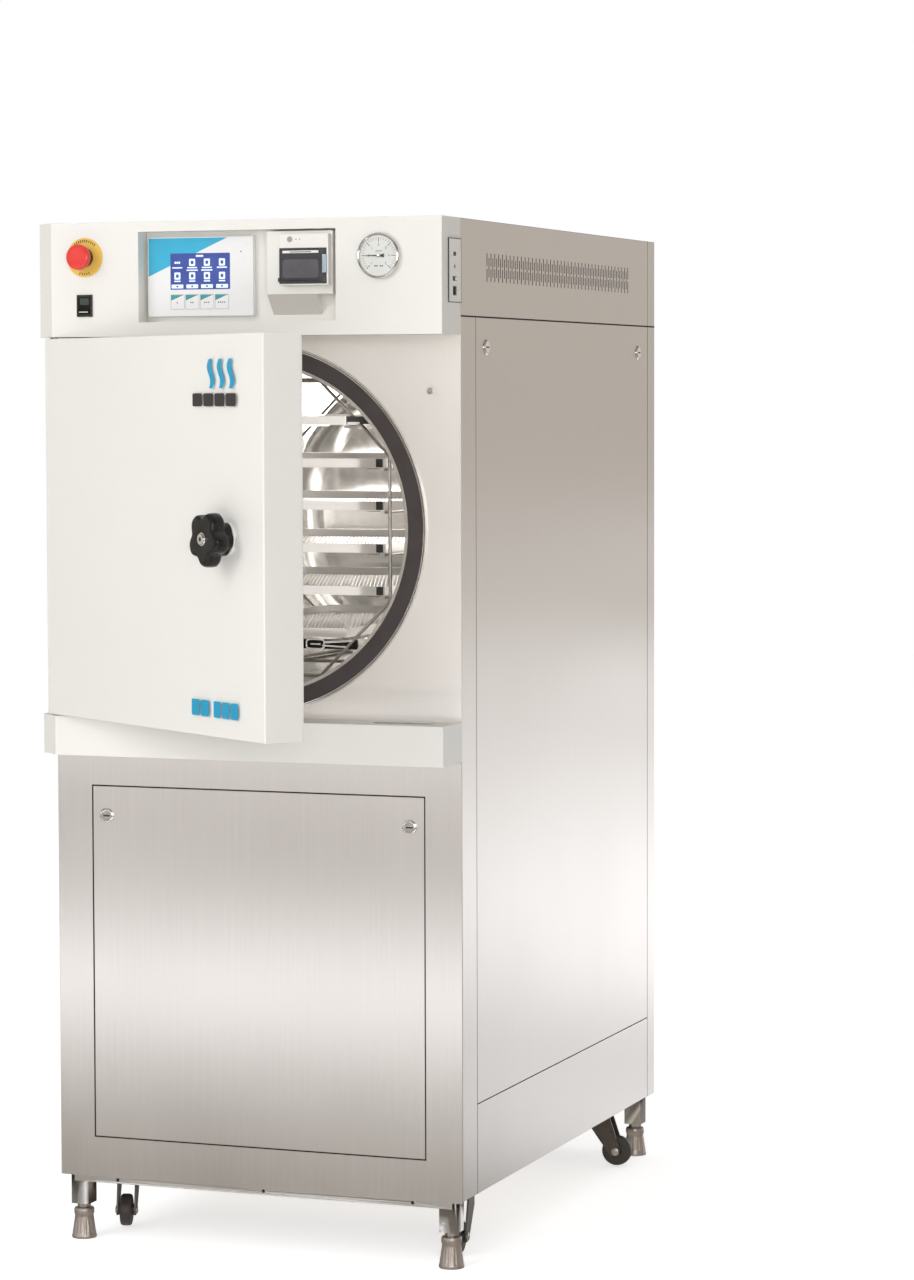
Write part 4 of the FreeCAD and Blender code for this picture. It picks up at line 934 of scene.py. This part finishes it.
# ------------------------------ locks and stop pin
SLOT_LONG, SLOT_WIDE = 5.5, 1.1
for lock in LOCKS:
    node = f"{lock}_lock"
    low, high = span(node)
    axis = BODY.inverted() @ Vector(joints[f"{lock}_lock_turn"]["pos_m"])
    across = axis.y if lock.startswith("side") else axis.x
    outline = rounded_outline(
        across - SLOT_LONG, across + SLOT_LONG, axis.z - SLOT_WIDE, axis.z + SLOT_WIDE, 1
    )
    # painted shade: a flat dark slot on each lock face for the shade inside its slot
    build = Build()
    if lock.startswith("side"):
        build.prism(outline, "x", high.x - 0.3, high.x + 0.1)
    else:
        build.prism(outline, "y", low.y - 0.1, low.y + 0.3)
    build.done(f"{lock}_lock_slot_shade", nodes[node]["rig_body"], dark_print)
pin_tip = span("front_plate")[0].y - 0.1
Build().lathe(
    [(3.1, -1), (3.1, -7.9), (5.2, -7.9), (5.2, pin_tip + 0.5), (4.6, pin_tip), (0, pin_tip)],
    (644, 0, 1257), steps=32,
).done("stop_pin_cap", "cabinet", bright_steel)

# ------------------------------ chamber
MESH_PITCH, MESH_LONG, STRAND, STRAND_THICK = 6.5, 17.0, 1.3, 0.35


def strand(build, start, end, z0):
    """A flat strand of the expanded mesh between two points of the tray floor."""
    a, b = Vector(start), Vector(end)
    side = Vector((a.y - b.y, b.x - a.x)).normalized() * STRAND / 2
    corners = [a - side, b - side, b + side, a + side]
    build.prism([tuple(corner) for corner in corners], "z", z0, z0 + STRAND_THICK)


def expanded_floor(build, x0, x1, y0, y1, z):
    """Crossing strands that fill a rectangle with long diamonds."""
    slope = MESH_LONG / MESH_PITCH
    rise = (y1 - y0) / slope
    count = int((x1 - x0 + rise) / MESH_PITCH) + 1
    for lean in (1, -1):
        for i in range(count):
            foot = x0 - rise + i * MESH_PITCH if lean > 0 else x0 + i * MESH_PITCH
            first, last = 0.0, 1.0
            for limit, above in ((x0, lean > 0), (x1, lean < 0)):
                crossing = (limit - foot) / (lean * rise)
                if above:
                    first = max(first, crossing)
                else:
                    last = min(last, crossing)
            crossing = ((x1 if lean > 0 else x0) - foot) / (lean * rise)
            last = min(last, crossing)
            if last - first < 0.01:
                continue
            start = (foot + lean * rise * first, y0 + (y1 - y0) * first)
            end = (foot + lean * rise * last, y0 + (y1 - y0) * last)
            strand(build, start, end, z - STRAND_THICK if lean > 0 else z)


SHEET = 1.2
for number in range(1, 7):
    node, body = f"tray_{number}", f"sliding_tray_{number}"
    low, high = span(node)
    lips = Build()
    lips.box(low.x, low.x + SHEET, low.y, high.y, low.z, high.z)
    lips.box(high.x - SHEET, high.x, low.y, high.y, low.z, high.z)
    lips.box(low.x + SHEET, high.x - SHEET, low.y, low.y + SHEET, low.z, high.z)
    lips.box(low.x + SHEET, high.x - SHEET, high.y - SHEET, high.y, low.z, high.z)
    lips.rounded(0.4, 2)
    lips.done(f"tray_{number}_lips", body, tray_steel, BODY, "tray_steel", [node])
    floor = Build()
    expanded_floor(
        floor, low.x + SHEET, high.x - SHEET, low.y + SHEET, high.y - SHEET, low.z + SHEET
    )
    floor.done(f"tray_{number}_mesh", body, mesh_steel, BODY, "tray_steel")
    if 1 < number < 6:
        clips = Build()
        hooks = Build()
        for x, way in ((low.x + 9.5, 1), (high.x - 9.5, -1)):
            clips.box(x - 5.5, x + 5.5, low.y - 1.6, low.y + 0.2, low.z + 0.6, high.z - 0.4)
            hooks.tube(
                [(x, low.y - 1.2, low.z + 1), (x, low.y - 1.2, low.z - 1.4),
                 (x + way * 4, low.y - 1.2, low.z - 2.0), (x + way * 16, low.y - 1.2, low.z - 1.6),
                 (x + way * 20, low.y - 1.2, low.z - 2.6)], 0.7, steps=8,
            )
        clips.done(f"tray_{number}_clips", body, black_plastic)
        hooks.done(f"tray_{number}_hooks", body, wire_steel)
rack_foot = span("tray_6")[0].z
top_low, top_high = span("tray_1")
Build().box(top_high.x + 1.5, top_high.x + 41, 26, 60, top_low.z + 1, top_high.z - 0.5).rounded(
    1.0, 2
).done("rack_stop_block", "cabinet", black_plastic)
Build().box(top_high.x + 1.5, top_high.x + 22, 25, 26.4, top_low.z + 1.5, top_low.z + 4.5).done(
    "rack_stop_tip", "cabinet", tray_steel
)
Build().box(185, 505, 31, 37, rack_foot - 19, rack_foot - 4).rounded(1.2, 2).done(
    "rack_sole_bar", "cabinet", black_gloss
)
clasp = Build()
clasp_x, clasp_z = 436, rack_foot - 11.5
clasp.tube(
    [(clasp_x + 15 * math.copysign(abs(math.cos(t)) ** 0.5, math.cos(t)), 27.5,
      clasp_z + 7.5 * math.copysign(abs(math.sin(t)) ** 0.5, math.sin(t)))
     for t in [math.radians(10 * k) for k in range(36)]], 1.6, steps=10, closed=True,
)
clasp.tube([(clasp_x + 14, 28, clasp_z + 3), (clasp_x + 62, 29, clasp_z + 6)], 2.2)
clasp.tube([(clasp_x + 12, 28, clasp_z - 2), (clasp_x + 52, 30, clasp_z - 4)], 1.6)
clasp.tube([(clasp_x - 8, 28, clasp_z), (clasp_x + 9, 28, clasp_z)], 1.4)
clasp.done("rack_clasp", "cabinet", bright_steel)
MOUTH, GROOVE_IN, GROOVE_OUT = (345, 0, 1044), 286.5, 287.5
# painted shade: a thin dark ring for the shade in the groove round the chamber mouth
Build().ring(
    [(GROOVE_IN, -5.15), (GROOVE_OUT, -5.15), (GROOVE_OUT, -4.9), (GROOVE_IN, -4.9)], MOUTH,
    steps=160,
).done("chamber_ring_groove_shade", "cabinet", dark_print)

# ------------------------------ castors and feet
APRON_SCREWS = (97, 351, 604)
# painted shade: dark discs in the apron's screw holes for the shade inside them
hole_shades = Build()
for x in APRON_SCREWS:
    hole_shades.lathe([(0, 8.6), (2.95, 8.6), (2.95, 9.8), (0, 9.8)], (x, 0, -5), steps=24)
hole_shades.done("apron_hole_shades", "cabinet", dark_print)
SKIRT_LOW, SKIRT_HIGH, FLUTES, FLUTE_DEPTH = -96.5, -75, 18, 0.022
HUB = (0, 0, 0)


def fluted(angle, radius, along):
    """Flutes round the skirt of a levelling foot."""
    if SKIRT_LOW < along < SKIRT_HIGH:
        return 1 + FLUTE_DEPTH * math.cos(FLUTES * angle)
    return 1


for corner in ("front_left", "front_right", "rear_left", "rear_right"):
    node = f"{corner}_foot"
    x, y, _ = middle_of(node)
    Build().lathe(
        [(8, -15), (8, -56), (11, -56.2), (14.8, -57), (16, -58.6), (16.2, -61), (16.2, -65),
         (15.7, -67), (15, -68.4), (15.1, -72), (15.8, -78), (17, -87), (18.4, -96),
         (19.4, -100), (20, -101.6), (20, -104.6), (19, -105.8), (0, -106)], (x, y, 0), "z",
        steps=144, wave=fluted,
    ).done(f"{corner}_foot_bell", nodes[node]["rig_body"], foot_steel, BODY, "foot_steel", [node])
    Build().prism(hexagon(x, y, 11, 15), "z", -55.6, -49.6).rounded(0.5, 2).done(
        f"{corner}_foot_nut", nodes[node]["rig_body"], zinc_steel
    )
    fork, wheel = f"{corner}_castor_fork", f"{corner}_castor_wheel"
    swivel = BODY.inverted() @ Vector(joints[f"{corner}_swivel"]["pos_m"])
    axle = BODY.inverted() @ Vector(joints[f"{corner}_wheel_spin"]["pos_m"])
    trail = axle - swivel
    turn = math.atan2(trail.x, -trail.y)
    place = BODY @ Matrix.Translation(axle) @ Matrix.Rotation(turn, 4, "Z")
    refined(fork, fork_steel, 0.7, place, slot="castor_zinc", segments=2)
    Build().ring(
        [(7, 72.6), (22.5, 72.6), (24.4, 70.8), (25, 68), (24.4, 65.4), (21, 62.6), (7, 62.6)],
        (0, math.hypot(trail.x, trail.y), 0), "z", steps=64,
    ).done(f"{corner}_castor_race", nodes[fork]["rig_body"], fork_steel, place)
    Build().box(-13.2, 13.2, 12, 43, 55, 63).rounded(1.5, 2).done(
        f"{corner}_castor_crown", nodes[fork]["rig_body"], fork_steel, place
    )
    Build().ring(
        [(11, -9), (21, -9), (24.2, -8.3), (25.7, -6.2), (26, -3), (26, 3), (25.7, 6.2),
         (24.2, 8.3), (21, 9), (11, 9)], HUB, "x", steps=72,
    ).done(f"{corner}_castor_tyre", nodes[wheel]["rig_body"], tyre_rubber, place, "castor_tyre",
           [wheel])
    Build().ring(
        [(4.2, -12.5), (8.6, -12.5), (9, -12), (9.4, -9.4), (13, -8.2), (16, -8.6), (16, 8.6),
         (13, 8.2), (9.4, 9.4), (9, 12), (8.6, 12.5), (4.2, 12.5)], HUB, "x", steps=48,
    ).done(f"{corner}_castor_hub", nodes[wheel]["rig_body"], black_plastic, place)
    Build().lathe(
        [(0, -18.2), (5.5, -18.2), (6.6, -17.4), (6.6, -16.2), (4, -16.1), (4, 16.1),
         (6.6, 16.2), (6.6, 17.4), (5.5, 18.2), (0, 18.2)], HUB, "x", steps=24,
    ).done(f"{corner}_castor_axle", nodes[fork]["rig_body"], zinc_steel, place)


# ------------------------------ studio
def stage_plane(name, corners, material, **visible):
    mesh = bpy.data.meshes.new(name)
    mesh.from_pydata(corners, [], [range(len(corners))])
    mesh.materials.append(material)
    plane = bpy.data.objects.new(name, mesh)
    scene.collection.objects.link(plane)
    for ray, seen in visible.items():
        setattr(plane, f"visible_{ray}", seen)
    return plane


def studio_paint(name):
    return surface(
        name, (0.90, 0.90, 0.895), 0.7, vary=0.008, patch=0.8, relief=0.02, relief_scale=120
    )


floor_paint = studio_paint("studio_floor")
floor_shader = floor_paint.node_tree.nodes["Principled BSDF"]
floor_shader.inputs["Emission Color"].default_value = (1, 1, 1, 1)
floor_shader.inputs["Emission Strength"].default_value = 0.62
bounce_paint = studio_paint("studio_bounce")
FLOOR_REACH = 14.0
floor_corners = rectangle(-FLOOR_REACH, FLOOR_REACH, -FLOOR_REACH, FLOOR_REACH)
stage_plane(
    "floor", [(x, y, 0) for x, y in floor_corners], floor_paint, glossy=False, diffuse=False,
    transmission=False, shadow=False,
)
stage_plane(
    "floor_bounce", [(x, y, -0.001) for x, y in floor_corners], bounce_paint, camera=False,
    glossy=False, shadow=False,
)
# darkens what the feet and castors mirror from under the cabinet
shade_paint = surface("under_shade", (0.035, 0.030, 0.026), 0.8, vary=0.1, patch=4)
stage_plane(
    "under_shade", [(x, 0.70, z) for x, z in rectangle(-0.33, 0.31, 0.004, 0.12)], shade_paint,
    camera=False, diffuse=False, shadow=False, transmission=False,
)


def soft_light(name, where, target, wide, tall, watts, colour=(1, 1, 1), **visible):
    lamp = bpy.data.lights.new(name, "AREA")
    lamp.shape = "RECTANGLE"
    lamp.size, lamp.size_y = wide, tall
    lamp.energy = watts
    lamp.color = colour
    light = bpy.data.objects.new(name, lamp)
    scene.collection.objects.link(light)
    light.location = where
    light.rotation_mode = "QUATERNION"
    away = Vector(target) - Vector(where)
    light.rotation_quaternion = away.to_track_quat("-Z", "Y")
    light.visible_camera = False
    for ray, seen in visible.items():
        setattr(light, f"visible_{ray}", seen)
    return light


COOL = (0.95, 1.01, 1.09)
for step, (up, watts) in enumerate(((0.12, 0.3), (0.24, 4.1), (0.38, 0.3), (0.80, 2.7))):
    soft_light(f"front_card_{step}", (-0.45, -1.30, up), (-0.45, 0, up), 3.0, 0.14, watts,
               COOL, diffuse=False)
SIDE_CARD = (
    (-0.35, 1.35), (-0.15, 0.78), (0.05, 1.56), (0.25, 1.47), (0.45, 1.07), (0.70, 0.88),
    (1.00, 0.28),
)
for step, (up, watts) in enumerate(SIDE_CARD):
    soft_light(f"side_card_{step}", (1.15, 2.5, up), (1.0, 0, up), 1.6, 0.22, watts,
               COOL, diffuse=False)
soft_light("key", (-2.2, -4.5, 3.2), (0, 0, 0.9), 3.0, 3.0, 97, glossy=False)
soft_light("low_fill", (0.5, -4.2, 0.35), (0, -0.3, 0.85), 1.8, 0.6, 19, glossy=False)
soft_light("top", (0.5, -1.5, 4.0), (0, 0, 0.9), 3.0, 3.0, 12, glossy=False)
soft_light("chamber", (2.0, -4.2, 1.5), (0.1, 0, 1.15), 1.2, 1.2, 40)
soft_light("chamber_mouth", (-0.02, -0.272, 1.17), (-0.02, 0, 1.16), 0.36, 0.36, 0.25)
soft_light("chamber_end", (0, 0.45, 1.27), (0, -0.1, 1.22), 0.40, 0.22, 2.2)

world = bpy.data.worlds.new("studio")
scene.world = world
world.use_nodes = True
tree = world.node_tree
tree.nodes.clear()
direction = tree.nodes.new("ShaderNodeTexCoord")
parts = tree.nodes.new("ShaderNodeSeparateXYZ")
ramp = tree.nodes.new("ShaderNodeValToRGB")
stops = ramp.color_ramp
SKY = (
    (0.33, (0.40, 0.375, 0.343)), (0.40, (0.10, 0.094, 0.085)),
    (0.46, (0.59, 0.557, 0.510)), (0.52, (0.80, 0.760, 0.707)),
    (0.60, (0.57, 0.552, 0.534)), (0.72, (0.14, 0.137, 0.133)),
)
stops.elements[0].position = 0.0
stops.elements[0].color = (0.90, 0.84, 0.76, 1)
stops.elements[1].position = 1.0
stops.elements[1].color = (0.73, 0.73, 0.73, 1)
for position, colour in SKY:
    stops.elements.new(position).color = (*colour, 1)
height = tree.nodes.new("ShaderNodeMapRange")
height.inputs["From Min"].default_value = -1.0
background = tree.nodes.new("ShaderNodeBackground")
background.inputs["Strength"].default_value = 0.95
white = tree.nodes.new("ShaderNodeBackground")
white.inputs["Color"].default_value = (1, 1, 1, 1)
seen = tree.nodes.new("ShaderNodeLightPath")
mixer = tree.nodes.new("ShaderNodeMixShader")
output = tree.nodes.new("ShaderNodeOutputWorld")
tree.links.new(direction.outputs["Generated"], parts.inputs["Vector"])
tree.links.new(parts.outputs["Z"], height.inputs["Value"])
tree.links.new(height.outputs["Result"], ramp.inputs["Fac"])
tree.links.new(ramp.outputs["Color"], background.inputs["Color"])
tree.links.new(seen.outputs["Is Camera Ray"], mixer.inputs["Fac"])
tree.links.new(background.outputs["Background"], mixer.inputs[1])
tree.links.new(white.outputs["Background"], mixer.inputs[2])
tree.links.new(mixer.outputs["Shader"], output.inputs["Surface"])
scene.view_settings.view_transform = "Standard"

# ------------------------------ camera
YAW, PITCH, ROLL = math.radians(20.473), math.radians(-3.254), math.radians(0.15)
lens = bpy.data.cameras.new("camera")
lens.lens = 105.8
lens.sensor_width = 36.0
lens.shift_y = -0.0203
camera = bpy.data.objects.new("camera", lens)
scene.collection.objects.link(camera)
camera.location = (2.3548, -5.6752, 1.349)
camera.rotation_euler = (math.pi / 2 + PITCH, ROLL, YAW)
scene.camera = camera
